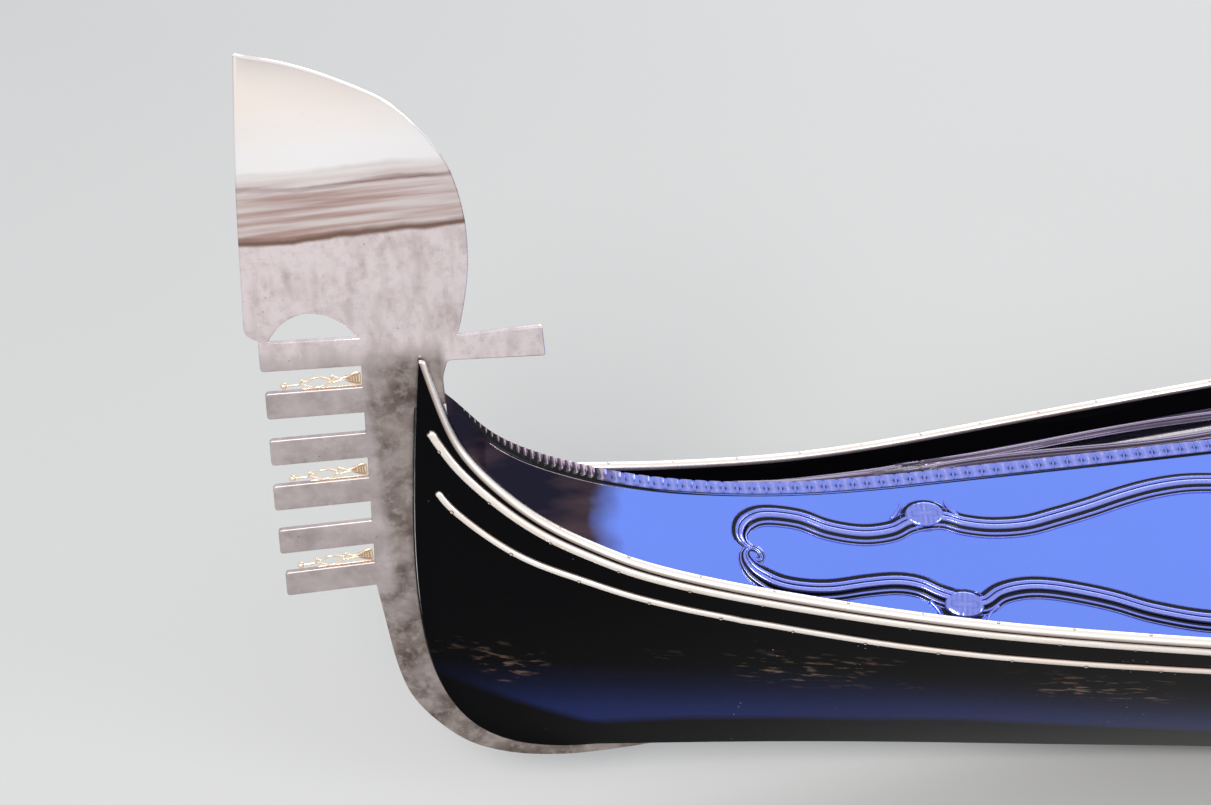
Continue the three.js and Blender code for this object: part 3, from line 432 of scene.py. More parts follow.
def settle(thing):
    """Turns a thing and its modifiers into plain mesh."""
    bpy.context.view_layer.update()
    mesh = evaluated(thing)
    thing.modifiers.clear()
    thing.data = mesh
    mesh.name = thing.name
    return thing


def rounded_edges(thing, width, segments=2, angle=40):
    """Rounds a thing's sharp edges by a width in millimetres."""
    bevel = thing.modifiers.new("Rounding", "BEVEL")
    bevel.width, bevel.segments = width * MM, segments
    bevel.limit_method, bevel.angle_limit = "ANGLE", math.radians(angle)
    settle(thing)
    shade(thing.data, angle)
    return thing


def softened(node, name, finish, width=2.5, angle=30):
    """A copy of a CAD node with rounded edges, which stands for it."""
    mesh = NODES[node].data.copy()
    shape = bmesh.new()
    shape.from_mesh(mesh)
    bmesh.ops.remove_doubles(shape, verts=shape.verts, dist=1e-5)
    bmesh.ops.dissolve_limit(shape, angle_limit=math.radians(1.5), verts=shape.verts, edges=shape.edges)
    shape.to_mesh(mesh)
    shape.free()
    paint(mesh, finish)
    thing = rounded_edges(placed(name, mesh), width, angle=angle)
    return stand_for(thing, "hull", finish, node)


def stand_for(thing, body, finish, *nodes):
    """Puts a piece on its body, in the place of CAD nodes, with the material slot of its finish."""
    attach(thing, body)
    if nodes:
        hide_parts(*nodes)
    return thing


# Shader maths

def plug(tree, socket, value):
    """Sets a socket from a number, a colour, a Number or another socket."""
    if isinstance(value, Number):
        value = value.socket
    if isinstance(value, bpy.types.NodeSocket):
        tree.links.new(value, socket)
    elif socket.type == "RGBA" and len(value) == 3:
        socket.default_value = (*value, 1)
    else:
        socket.default_value = value


class Number:
    """A number in a node tree. Arithmetic on it adds Math nodes."""

    def __init__(self, tree, socket):
        self.tree, self.socket = tree, socket

    def math(self, operation, *others, clamp=False):
        node = self.tree.nodes.new("ShaderNodeMath")
        node.operation, node.use_clamp = operation, clamp
        for socket, value in zip(node.inputs, (self, *others)):
            plug(self.tree, socket, value)
        return Number(self.tree, node.outputs[0])

    def __add__(self, other):
        return self.math("ADD", other)

    def __sub__(self, other):
        return self.math("SUBTRACT", other)

    def __rsub__(self, other):
        return self * -1 + other

    def __mul__(self, other):
        return self.math("MULTIPLY", other)

    __radd__ = __add__
    __rmul__ = __mul__

    def between(self, low, high):
        """0 at low, 1 at high and clamped beyond them; low may be the greater."""
        return (self - low).math("MULTIPLY", 1 / (high - low), clamp=True)


class Finish:
    """A material in the making: its tree, its shader and the nodes that feed it."""

    def __init__(self, name, slot, metallic=0.0, **constants):
        self.material = bpy.data.materials.new(name)
        self.material.use_nodes = True
        self.material["slot"] = slot
        self.tree = self.material.node_tree
        self.tree.nodes.clear()
        self.shader = self.tree.nodes.new("ShaderNodeBsdfPrincipled")
        output = self.tree.nodes.new("ShaderNodeOutputMaterial")
        self.tree.links.new(self.shader.outputs[0], output.inputs["Surface"])
        self.put(Metallic=metallic, **constants)
        self.where = self.node("ShaderNodeTexCoord").outputs["Object"]
        spot = self.node("ShaderNodeSeparateXYZ", values={"Vector": self.where})
        self.x, self.y, self.z = (Number(self.tree, socket) for socket in spot.outputs)

    def put(self, **values):
        """Sets the shader's sockets; an underscore stands for a space in a name."""
        for name, value in values.items():
            plug(self.tree, self.shader.inputs[name.replace("_", " ")], value)

    def node(self, kind, settings=None, values=None):
        """Adds a node: its settings first, then its sockets."""
        node = self.tree.nodes.new(kind)
        for name, value in (settings or {}).items():
            setattr(node, name, value)
        for name, value in (values or {}).items():
            plug(self.tree, node.inputs[name], value)
        return node

    def noise(self, scale, detail=3.0, stretch=(1, 1, 1)):
        """Noise with so many waves a metre, more or fewer along each axis."""
        scales = tuple(scale * share for share in stretch)
        place = self.node("ShaderNodeMapping", values={"Vector": self.where, "Scale": scales})
        made = self.node("ShaderNodeTexNoise", values={
            "Vector": place.outputs[0], "Scale": 1.0, "Detail": detail})
        return Number(self.tree, made.outputs["Fac"])

    def specks(self, scale, size):
        """1 in small round specks, so many a metre, and 0 elsewhere."""
        made = self.node("ShaderNodeTexVoronoi", values={"Vector": self.where, "Scale": scale})
        return Number(self.tree, made.outputs["Distance"]).between(size, size * 0.6)

    def dark_head_reflection(self):
        """Rises to nearly 1 where the decks run up into the bow's head, which stays dark."""
        wander = self.noise(9, 4) * 0.1 - 0.05
        return (self.x + self.z * 0.3 + wander).between(5.15, 5.21)

    def dark_side_reflection(self):
        """1 on the starboard halves of the decks, whose lacquer is darker."""
        return self.y.between(-0.015, -0.04)

    def attribute(self, name):
        made = self.node("ShaderNodeAttribute", {"attribute_name": name})
        return Number(self.tree, made.outputs["Fac"])

    def mix(self, share, first, second):
        """A colour between two."""
        node = self.node("ShaderNodeMix", {"data_type": "RGBA"})
        for key, value in ((0, share), (6, first), (7, second)):
            plug(self.tree, node.inputs[key], value)
        return node.outputs[2]

    def bump(self, height, distance, strength=1.0):
        """Relief from a height, so many millimetres deep."""
        node = self.node("ShaderNodeBump", values={
            "Height": height, "Distance": distance * MM, "Strength": strength})
        self.put(Normal=node.outputs[0])


def look():
    return bpy.context.scene.gondola_look


@functools.cache
def black_lacquer():
    """Glossy black sides with a navy sheen above the water, scuffed along its top."""
    finish = Finish("Black lacquer", "black_lacquer", Specular_IOR_Level=0.03, Coat_Weight=0.012,
                    Coat_Roughness=0.03)
    amidships = (finish.x * finish.x).between(18.5, 0) * 0.225
    level = finish.z + amidships + finish.noise(4, 3, (0.4, 1, 1)) * 0.05 - 0.025
    foot = finish.z - (finish.x - 4.918) * 0.568 - 0.2
    # Painted reflection: a navy band of sky and water on the sides above the water, stronger low down.
    navy_reflection = level.between(0.46, 0.31) * level.between(0.24, 0.265) * foot.between(-0.005, 0.02)
    depth = level.between(0.42, 0.27) * 0.6 + finish.noise(60, 3) * 0.2 + 0.3
    colour = finish.mix(navy_reflection * depth, tuple(look().hull_black), (0.01, 0.017, 0.085))
    edge = level.between(0.52, 0.46) * level.between(0.38, 0.42) * foot.between(0.0, 0.03)
    patches = finish.noise(5, 2).between(0.46, 0.58)
    scuffs = finish.noise(75, 7, (0.25, 1, 1.3)).between(0.55, 0.66) * patches * edge
    colour = finish.mix(scuffs * 0.75, colour, (0.16, 0.1, 0.075))
    dots = finish.specks(38, 0.07) * finish.noise(5, 2).between(0.56, 0.62)
    colour = finish.mix(dots * 0.5, colour, (0.4, 0.38, 0.36))
    finish.put(Base_Color=colour, Roughness=scuffs * 0.3 + finish.noise(4) * 0.04 + 0.05)
    finish.bump(finish.noise(3.5, 2), 1.2, 0.35)
    return finish.material


@functools.cache
def bottom_paint():
    """Dull black paint over cross planks, worn in patches."""
    finish = Finish("Bottom paint", "bottom_paint")
    seam = (finish.x * (1 / 0.18)).math("FRACT").math("SUBTRACT", 0.5).math("ABSOLUTE")
    line = seam.between(0.485, 0.5)
    worn = finish.noise(14, 6).between(0.5, 0.75)
    colour = finish.mix(worn * 0.6, (0.012, 0.012, 0.014), (0.05, 0.045, 0.04))
    finish.put(Base_Color=finish.mix(line, colour, (0.002, 0.002, 0.002)), Roughness=worn * 0.2 + 0.5)
    finish.bump(finish.noise(90, 4) * 0.3 - line, 1.0, 0.5)
    return finish.material


@functools.cache
def deck_lacquer():
    """Mirror lacquer that takes the sky's blue."""
    finish = Finish("Deck lacquer", "deck_lacquer", metallic=0.92, Coat_Roughness=0.02)
    blue = tuple(look().deck_blue)
    deep = tuple(share * 0.88 for share in blue)
    # The blue is the sky's reflection, painted into the colour and varied at random.
    colour = finish.mix(finish.noise(2.2, 2), deep, blue)
    # The starboard half gets a darker painted reflection.
    colour = finish.mix(finish.dark_side_reflection() * 0.88, colour, (0.07, 0.05, 0.085))
    # At the bow's head, painted reflections of dark and brown things take over from the blue.
    streak = finish.noise(12, 5, (0.3, 1.5, 1)).between(0.45, 0.7)
    dark = finish.mix(streak, (0.01, 0.006, 0.007), (0.09, 0.05, 0.045))
    head = finish.dark_head_reflection()
    finish.put(Base_Color=finish.mix(head * 0.98, colour, dark), Coat_Weight=head * -0.31 + 0.35,
               Roughness=finish.noise(9, 4) * 0.05 + 0.03)
    finish.bump(finish.noise(2.4, 2), 1.5, 0.2)
    return finish.material


@functools.cache
def carved_lacquer():
    """The same lacquer on carving: blue where it faces the sky and black in its grooves."""
    finish = Finish("Carved lacquer", "carved_lacquer", metallic=0.85, Coat_Weight=0.4,
                    Coat_Roughness=0.05)
    # Painted shade: black in grooves and on steep sides.
    groove = finish.attribute("groove").between(0.3, 0.75)
    rubbed = finish.noise(160, 3).between(0.55, 0.68)
    # Pale on raised parts: partly rubbed wear, partly a painted highlight, stronger at the head and weaker
    # on the starboard half.
    height = finish.attribute("groove").between(0.14, 0.0)
    head, far = finish.dark_head_reflection(), finish.dark_side_reflection()
    # The blue is the sky's reflection painted into the colour, with darker painted reflections at the head
    # and on the starboard half.
    colour = finish.mix(0.4, tuple(look().deck_blue), (0.26, 0.2, 0.42))
    colour = finish.mix(head * 0.9, colour, (0.1, 0.055, 0.05))
    colour = finish.mix(far * 0.9, colour, (0.1, 0.06, 0.075))
    worn = (rubbed * 0.4 + head * 0.45 + 0.16) * (1 - far * 0.75)
    colour = finish.mix(height * worn, colour, (0.9, 0.72, 0.7))
    colour = finish.mix(groove, colour, (0.003, 0.003, 0.006))
    finish.put(Base_Color=colour, Roughness=groove * 0.15 + finish.noise(40, 3) * 0.1 + 0.08)
    finish.bump(finish.noise(220, 3), 0.4, 0.4)
    return finish.material


@functools.cache
def strip_metal():
    """Cream-white metal strips with warm patches of tarnish."""
    finish = Finish("Strip metal", "strip_metal", metallic=0.85)
    tarnish = finish.noise(7, 5, (0.35, 1, 1)).between(0.52, 0.72)
    fine = finish.noise(60, 4, (0.3, 1, 1)).between(0.45, 0.75)
    colour = finish.mix(tarnish * 0.6, tuple(look().strip_white), (0.68, 0.46, 0.37))
    colour = finish.mix(fine * 0.25, colour, (0.5, 0.42, 0.4))
    # Painted shade: darker along the edges of the strips and the capping, where they meet the plank.
    colour = finish.mix(finish.attribute("groove") * 0.85, colour, (0.12, 0.06, 0.04))
    finish.put(Base_Color=colour, Roughness=fine * 0.16 + tarnish * 0.12 + 0.26)
    finish.bump(finish.noise(240, 3), 0.25, 0.35)
    return finish.material


@functools.cache
def nail_metal():
    """Nail heads, duller and redder than the strips they hold."""
    finish = Finish("Nail metal", "strip_metal", metallic=0.9)
    dull = finish.noise(300, 2)
    colour = finish.mix(dull, (0.55, 0.42, 0.36), (0.85, 0.78, 0.72))
    # The groove attribute paints a shadow round each head's foot.
    finish.put(Base_Color=finish.mix(finish.attribute("groove"), colour, (0.06, 0.035, 0.025)),
               Roughness=dull * 0.3 + 0.25)
    return finish.material


@functools.cache
def blade_steel():
    """The bow iron's faces: a polished blade, brushed below, and mottled brown on comb and strip."""
    finish = Finish("Blade steel", "steel", metallic=1.0)
    above = finish.z - STEM_Z * MM
    wander = finish.noise(9, 4) * 0.05 - 0.025
    level = above + wander * 0.5
    brushed = level.between(0.266, 0.252)
    arm = finish.x.between(5.215, 5.2) * above.between(-0.12, -0.08)
    patina = (above + wander * 2).between(0.05, -0.01) * (1 - arm)
    band = level.between(0.254, 0.262) * level.between(0.385, 0.376)
    seam = level.between(0.25, 0.256) * level.between(0.27, 0.26)
    crack = level.between(0.344, 0.348) * level.between(0.357, 0.352)
    pale = level.between(0.345, 0.37) * 0.6
    streak = finish.noise(30, 6, (0.12, 1, 2.4)).between(0.42, 0.66)
    runs = finish.noise(26, 6, (1.6, 1, 0.5)).between(0.45, 0.7)
    mottle = finish.noise(16, 8)
    spots = finish.noise(75, 6).between(0.46, 0.7)
    seat_shade = finish.attribute("groove")
    cream = finish.mix(level.between(0.42, 0.5), (0.97, 0.95, 0.96), (0.97, 0.88, 0.84))
    colour = finish.mix(brushed, cream, (0.84, 0.74, 0.76))
    colour = finish.mix(brushed * (runs * 0.45 + spots * 0.25), colour, (0.44, 0.35, 0.34))
    colour = finish.mix(band * (streak * 0.5 + 0.42) * (1 - pale), colour, (0.45, 0.28, 0.25))
    colour = finish.mix(crack * (streak * 0.5 + 0.3), colour, (0.2, 0.1, 0.1))
    colour = finish.mix(seam * 0.88, colour, (0.17, 0.08, 0.05))
    brown = finish.mix(mottle.between(0.36, 0.66), (0.42, 0.36, 0.34), (0.15, 0.11, 0.095))
    brown = finish.mix(spots * 0.5, brown, (0.58, 0.51, 0.49))
    tooth = finish.x.between(5.335, 5.35) * above.between(-0.52, -0.5)
    brown = finish.mix(tooth * 0.45, brown, (0.72, 0.64, 0.66))
    colour = finish.mix(patina, colour, brown)
    pits = finish.specks(60, 0.075) * finish.noise(9, 2).between(0.48, 0.56)
    colour = finish.mix(pits * (brushed * 0.9), colour, (0.03, 0.022, 0.02))
    # Painted shade: the edge faces where the iron sits on the stem, dark and dull.
    colour = finish.mix(seat_shade, colour, (0.03, 0.02, 0.02))
    rough = patina * 0.22 + brushed * 0.16 + spots * (brushed * 0.1) + band * 0.1 + 0.06
    finish.put(Base_Color=colour, Roughness=rough + seat_shade * 0.7, Metallic=1 - seat_shade)
    finish.bump(mottle * patina + finish.noise(4, 2) * 0.5 - pits * 0.6, 1.0, 0.4)
    return finish.material


@functools.cache
def bright_steel():
    """The irons' polished edges."""
    finish = Finish("Bright steel", "steel", metallic=0.55)
    worn = finish.noise(45, 4).between(0.5, 0.75)
    finish.put(Base_Color=finish.mix(worn * 0.6, (1.0, 0.98, 0.97), (0.78, 0.68, 0.66)),
               Roughness=worn * 0.2 + 0.3)
    return finish.material


@functools.cache
def dull_steel():
    """The stern iron, brushed and lightly tarnished."""
    finish = Finish("Dull steel", "steel", metallic=1.0)
    mottle = finish.noise(22, 7)
    colour = finish.mix(mottle.between(0.35, 0.7), (0.6, 0.54, 0.53), (0.24, 0.19, 0.18))
    finish.put(Base_Color=colour, Roughness=mottle * 0.3 + 0.18)
    finish.bump(mottle, 0.5, 0.3)
    return finish.material


@functools.cache
def brass():
    """Brass, polished on its heights and brown in its grooves."""
    finish = Finish("Brass", "brass", metallic=1.0)
    groove = finish.attribute("groove")
    aged = finish.noise(130, 4).between(0.4, 0.75)
    colour = finish.mix(aged * 0.4, tuple(look().brass), (0.62, 0.34, 0.18))
    colour = finish.mix(groove, colour, (0.3, 0.14, 0.06))
    finish.put(Base_Color=colour, Roughness=aged * 0.22 + groove * 0.2 + 0.16)
    finish.bump(finish.noise(400, 3), 0.2, 0.4)
    return finish.material


@functools.cache
def black_wood():
    """Black satin paint on wood, with the grain showing through and edges a little rubbed."""
    finish = Finish("Black wood", "black_wood", Specular_IOR_Level=0.4, Coat_Weight=0.15)
    grain = finish.noise(70, 5, (0.06, 1, 1))
    rubbed = finish.noise(11, 5).between(0.58, 0.78)
    colour = finish.mix(rubbed * 0.5, (0.008, 0.007, 0.008), (0.035, 0.028, 0.025))
    finish.put(Base_Color=colour, Roughness=grain * 0.18 + rubbed * 0.12 + 0.2)
    finish.bump(grain, 0.5, 0.4)
    return finish.material


def plain_wood(name, slot, pale, dark, roughness):
    """Bare or oiled wood with grain along X."""
    finish = Finish(name, slot, Specular_IOR_Level=0.35)
    warp = finish.noise(3, 2, (0.3, 1, 1)) * 0.35
    ring = ((finish.y + finish.z * 0.6 + warp * 0.3) * 90).math("SINE") * 0.5 + 0.5
    pores = finish.noise(240, 4, (0.03, 1, 1))
    tone = finish.attribute("groove")
    colour = finish.mix(ring * 0.5 + pores * 0.5, pale, dark)
    colour = finish.mix(tone * 0.45, colour, tuple(share * 0.45 for share in dark))
    worn = finish.noise(9, 5).between(0.5, 0.8)
    colour = finish.mix(worn * 0.3, colour, tuple(min(1, share * 1.35) for share in pale))
    finish.put(Base_Color=colour, Roughness=pores * 0.2 + worn * 0.12 + roughness)
    finish.bump(pores * 0.6 + ring * 0.2, 0.6, 0.5)
    return finish.material


@functools.cache
def floor_wood():
    return plain_wood("Floor wood", "floor_wood", (0.16, 0.085, 0.042), (0.06, 0.028, 0.013), 0.42)


@functools.cache
def walnut():
    return plain_wood("Walnut", "walnut", (0.22, 0.1, 0.042), (0.075, 0.03, 0.012), 0.26)


@functools.cache
def velvet():
    """Crimson velvet with a lighter nap where it has been brushed."""
    finish = Finish("Velvet", "velvet", Specular_IOR_Level=0.15, Sheen_Weight=0.7,
                    Sheen_Roughness=0.35, Sheen_Tint=(1, 0.35, 0.4))
    nap = finish.noise(12, 4, (1, 1.6, 1)).between(0.35, 0.7)
    pile = finish.noise(1600, 2)
    red = tuple(look().velvet)
    colour = finish.mix(nap * 0.55, tuple(share * 0.5 for share in red), red)
    finish.put(Base_Color=finish.mix(pile * 0.3, colour, tuple(share * 0.3 for share in red)),
               Roughness=nap * 0.1 + 0.78)
    finish.bump(pile, 0.6, 0.5)
    return finish.material


@functools.cache
def gilt():
    """Worn gilding on the seat's carving and its braid."""
    finish = Finish("Gilt", "brass", metallic=0.9)
    groove = finish.attribute("groove")
    worn = finish.noise(70, 5).between(0.5, 0.72)
    colour = finish.mix(worn * 0.6, (0.8, 0.5, 0.16), (0.24, 0.08, 0.03))
    finish.put(Base_Color=finish.mix(groove * 0.8, colour, (0.09, 0.035, 0.01)),
               Roughness=worn * 0.25 + 0.27)
    finish.bump(finish.noise(300, 3), 0.4, 0.5)
    return finish.material


@functools.cache
def floor_paint():
    """The stage's pale floor."""
    finish = Finish("Pale floor", "", Specular_IOR_Level=0.2)
    cloud = finish.noise(0.35, 2)
    finish.put(Base_Color=finish.mix(cloud, (0.5, 0.5, 0.49), (0.54, 0.535, 0.525)), Roughness=0.7)
    return finish.material


# Repeats along a path, by geometry nodes

@functools.cache
def repeat_tree():
    """A tree that repeats a shape along a path of edges.

    The path's attribute up is the way each copy stands, size its scale, and fall how steeply it
    droops to both sides of the middle plane.
    """
    tree = bpy.data.node_groups.new("Repeat along", "GeometryNodeTree")
    face = tree.interface
    for name, kind in (("Geometry", "Geometry"), ("Shape", "Object"), ("Spacing", "Float"),
                       ("Variation", "Float"), ("Seed", "Int"), ("Finish", "Material")):
        face.new_socket(name=name, in_out="INPUT", socket_type=f"NodeSocket{kind}")
    face.new_socket(name="Geometry", in_out="OUTPUT", socket_type="NodeSocketGeometry")

    def node(kind, settings=None, **values):
        made = tree.nodes.new(kind)
        for name, value in (settings or {}).items():
            setattr(made, name, value)
        for name, value in values.items():
            socket = made.inputs[name.replace("_", " ")]
            if isinstance(value, bpy.types.NodeSocket):
                tree.links.new(value, socket)
            else:
                socket.default_value = value
        return made

    given = node("NodeGroupInput").outputs
    line = node("GeometryNodeMeshToCurve", Mesh=given["Geometry"])
    even = node("GeometryNodeResampleCurve", {"mode": "LENGTH"}, Curve=line.outputs[0],
                Length=given["Spacing"])
    up = node("GeometryNodeInputNamedAttribute", {"data_type": "FLOAT_VECTOR"}, Name="up")
    along = node("GeometryNodeInputTangent")
    turn = node("FunctionNodeAxesToRotation", {"primary_axis": "Z", "secondary_axis": "X"},
                Primary_Axis=up.outputs[0], Secondary_Axis=along.outputs[0])
    shape = node("GeometryNodeObjectInfo", Object=given["Shape"])
    small = node("ShaderNodeMath", {"operation": "SUBTRACT"})
    small.inputs[0].default_value = 1
    tree.links.new(given["Variation"], small.inputs[1])
    chance = node("FunctionNodeRandomValue", {"data_type": "FLOAT"}, Seed=given["Seed"])
    tree.links.new(small.outputs[0], chance.inputs[2])
    chance.inputs[3].default_value = 1
    share = node("GeometryNodeInputNamedAttribute", {"data_type": "FLOAT"}, Name="size")
    size = node("ShaderNodeMath", {"operation": "MULTIPLY"})
    tree.links.new(chance.outputs[1], size.inputs[0])
    tree.links.new(share.outputs[0], size.inputs[1])
    copies = node("GeometryNodeInstanceOnPoints", Points=even.outputs[0],
                  Instance=shape.outputs["Geometry"], Rotation=turn.outputs[0],
                  Scale=size.outputs[0])
    real = node("GeometryNodeRealizeInstances", Geometry=copies.outputs[0])
    fall = node("GeometryNodeInputNamedAttribute", {"data_type": "FLOAT"}, Name="fall")
    spot = node("ShaderNodeSeparateXYZ", Vector=node("GeometryNodeInputPosition").outputs[0])
    away = node("ShaderNodeMath", {"operation": "ABSOLUTE"})
    tree.links.new(spot.outputs["Y"], away.inputs[0])
    drop = node("ShaderNodeMath", {"operation": "MULTIPLY"})
    tree.links.new(away.outputs[0], drop.inputs[0])
    tree.links.new(fall.outputs[0], drop.inputs[1])
    down = node("ShaderNodeMath", {"operation": "MULTIPLY"})
    tree.links.new(drop.outputs[0], down.inputs[0])
    down.inputs[1].default_value = -1
    shift = node("ShaderNodeCombineXYZ", Z=down.outputs[0])
    laid = node("GeometryNodeSetPosition", Geometry=real.outputs[0], Offset=shift.outputs[0])
    painted = node("GeometryNodeSetMaterial", Geometry=laid.outputs[0], Material=given["Finish"])
    end = node("NodeGroupOutput")
    tree.links.new(painted.outputs[0], end.inputs[0])
    return tree


def repeat(name, paths, shape, spacing, finish, variation=0.0, sharp=35):
    """Copies of a shape along paths of (points, up, fall, size), in millimetres, as a plain mesh."""
    mesh = bpy.data.meshes.new(name)
    points, edges, ups, falls, scales = [], [], [], [], []
    for path, up, fall, size in paths:
        start = len(points)
        points += (np.asarray(path) * MM).tolist()
        edges += [(start + i, start + i + 1) for i in range(len(path) - 1)]
        ups.append(np.broadcast_to(up, np.shape(path)))
        falls.append(np.broadcast_to(fall, len(path)))
        scales.append(np.broadcast_to(size, len(path)))
    mesh.from_pydata(points, edges, [])
    stand = mesh.attributes.new("up", "FLOAT_VECTOR", "POINT")
    stand.data.foreach_set("vector", np.concatenate(ups).astype(np.float32).ravel())
    for extra, values in (("fall", falls), ("size", scales)):
        given = mesh.attributes.new(extra, "FLOAT", "POINT")
        given.data.foreach_set("value", np.concatenate(values).astype(np.float32))
    thing = placed(name, mesh)
    copies = thing.modifiers.new("Repeat", "NODES")
    copies.node_group = repeat_tree()
    values = {"Shape": shape, "Spacing": spacing * MM, "Variation": variation, "Seed": 7,
              "Finish": finish}
    for item in copies.node_group.interface.items_tree:
        if item.name in values:
            copies[item.identifier] = values[item.name]
    settle(thing)
    for extra in ("up", "fall", "size"):
        if extra in thing.data.attributes:
            thing.data.attributes.remove(thing.data.attributes[extra])
    shade(thing.data, sharp)
    bpy.data.objects.remove(shape)
    return thing


def nail_head(radius=3.6, height=1.7):
    """A low dome that stands on its path, with a dark line round its foot."""
    profile = [(radius * 1.25, -0.6), (radius * 1.25, 0.15), (radius, 0.3), (radius * 0.86, height * 0.6),
               (radius * 0.5, height * 0.92), (0.3, height)]
    dome = lathe(profile, np.zeros(3), count=8)
    return Solid().add(dome, groove=np.repeat([1, 1, 0.7, 0, 0, 0], 8)).make("nail_head_shape", nail_metal())


# Nail heads on the capping and on the floor: radius, height
CAPPING_NAIL, FLOOR_NAIL = (2.9, 0.8), (3, 0.5)


# Hull

LENGTHS = ("bow", "middle", "stern")
# Where rows of points lie on the planks, from 0 at the chine to 1 at the rim, close at both edges
PLANK_ROWS = np.concatenate([[0, 0.006], np.linspace(0.03, 0.97, 24), [0.994, 1]])


def build_hull(sizes):
    x = stations((STEM_X, STERN_X), sizes.station_step * METRE)
    for word, side in SIDES:
        grids = [face(side, x[:, None], PLANK_ROWS) for face in (outer, inner)]
        planks = Solid().add(thick(*grids)).make(f"{word}_planking", black_lacquer())
        stand_for(planks, "hull", black_lacquer(), *[f"{word}_plank_{length}" for length in LENGTHS])
    for length in LENGTHS:
        softened(f"bottom_{length}", f"bottom_{length}_planks", bottom_paint(), 2)
    softened("stem_post", "stem", black_wood(), 1.5)
    softened("stern_post", "sternpost", black_wood(), 1.5)


# Rubbing strips

STRIP_STEP = 30
# Distances from a strip's end where its rounding needs more stations
FINE_END = (0.5, 1.5, 3, 5, 8, 12)
# The stations that carry nails, clear of the rounded ends
CAPPING_NAILED, STRIP_NAILED = slice(8, -8), slice(12, -12)


def end_taper(x, reach=9.0):
    """0.3 at both ends of a run along the rim, rising to 1 in a quarter circle."""
    run = rim_run(x)
    near = np.clip(np.minimum(run, run[-1] - run) / reach, 0, 1)
    return 0.3 + 0.7 * np.sqrt(1 - (1 - near) ** 2)


def capping_line(side, x):
    """The middle of the plank's top, half its thickness, and the way up from it."""
    out, within = outer(side, x, 1), inner(side, x, 1)
    slope = np.arctan2(rim_z(x + 2) - rim_z(x - 2), 4)
    up = np.stack([-np.sin(slope), np.zeros(x.shape), np.cos(slope)], -1)
    return (out + within) / 2, np.abs(out[:, 1] - within[:, 1]) / 2, up


def capping_shell(side, x):
    middle, half, up = capping_line(side, x)
    taper = end_taper(x)[:, None, None]
    turn = np.linspace(0, np.pi, 13)
    across = np.where(np.cos(turn) > 0, half[:, None] + CAPPING["overhang"], half[:, None]) * np.cos(turn)
    lift = SEAT_GAP + CAPPING["height"] * np.sin(turn) ** 0.8
    out = np.array([0, side, 0.0])
    rings = middle[:, None] + taper * across[..., None] * out + taper * up[:, None] * lift[None, :, None]
    return skin(rings)


def eased(values, passes=8):
    """Values with their small kinks smoothed out and their ends kept."""
    values = np.array(values, float)
    for _ in range(passes):
        values[1:-1] += 0.25 * (values[2:] - 2 * values[1:-1] + values[:-2])
    return values


def strip_rings(side, strip, x, places):
    """Rings over a strip's round face; a place runs from -1 at its lower edge to 1 at its upper."""
    v = eased(depth_to_v(x, smooth(STRIP_DEPTHS, strip["column"])(x)))
    middle = outer(side, x, v)
    out = np.cross(outer(side, x + 1, v) - outer(side, x - 1, v),
                   outer(side, x, v + 0.002) - outer(side, x, v - 0.002))
    out = unit(out * np.sign(out[:, 1:2]) * side)
    across = unit(np.cross(np.gradient(middle, axis=0), out))
    across *= np.sign(across[:, 2:])
    taper = end_taper(x)[:, None, None]
    places = np.asarray(places)[:, None]
    bulge = strip["height"] * np.sqrt(1 - places ** 2)
    rise = strip["width"] / 2 * places * across[:, None] + bulge * out[:, None]
    return middle[:, None] + SEAT_GAP * out[:, None] + taper * rise


def build_strips(sizes):
    spacing = sizes.nail_spacing * METRE
    places = np.sin(np.linspace(-np.pi / 2, np.pi / 2, 11))
    # Painted shade along the edges of the strips and the capping, where they meet the plank.
    edge_shade = np.interp(np.abs(places), (0.9, 1), (0, 1))
    rim = np.interp(np.abs(np.cos(np.linspace(0, np.pi, 13))), (0.93, 1), (0, 1))
    for word, side in SIDES:
        x = stations((STEM_X, STERN_X), STRIP_STEP, FINE_END)
        capping = Solid().add(capping_shell(side, x), groove=np.tile(rim, len(x)))
        capping = capping.make(f"{word}_capping", strip_metal(), sharp=60)
        stand_for(capping, "hull", strip_metal(), f"{word}_upper_strip")
        middle, _, up = capping_line(side, x)
        line = middle + up * (CAPPING["height"] + SEAT_GAP - 0.2)
        run = [(line[CAPPING_NAILED], up[CAPPING_NAILED], 0, 1)]
        nails = repeat(f"{word}_capping_screws", run, nail_head(*CAPPING_NAIL), spacing, nail_metal(), 0.3)
        stand_for(nails, "hull", nail_metal())
        for strip in STRIPS:
            name = f"{word}_{strip['name']}"
            x = stations(strip["ends"], STRIP_STEP, FINE_END)
            rings = strip_rings(side, strip, x, places)
            run = Solid().add(skin(rings), groove=np.tile(edge_shade, len(x)))
            run = run.make(f"{name}_rubbing_strip", strip_metal(), sharp=60)
            stand_for(run, "hull", strip_metal(), f"{name}_strip")
            rings = strip_rings(side, strip, x, strip["nails"] + np.array([-0.12, 0, 0.12]))
            near, seat, far = np.moveaxis(rings, 1, 0)[:, STRIP_NAILED]
            stand = unit(np.cross(np.gradient(seat, axis=0), far - near))
            stand *= np.sign(stand[:, 1:2]) * side
            nails = repeat(f"{name}_nails", [(seat, stand, 0, 1)], nail_head(), spacing, nail_metal(), 0.2)
            stand_for(nails, "hull", nail_metal())


# Decks

DECK_STEP = 25


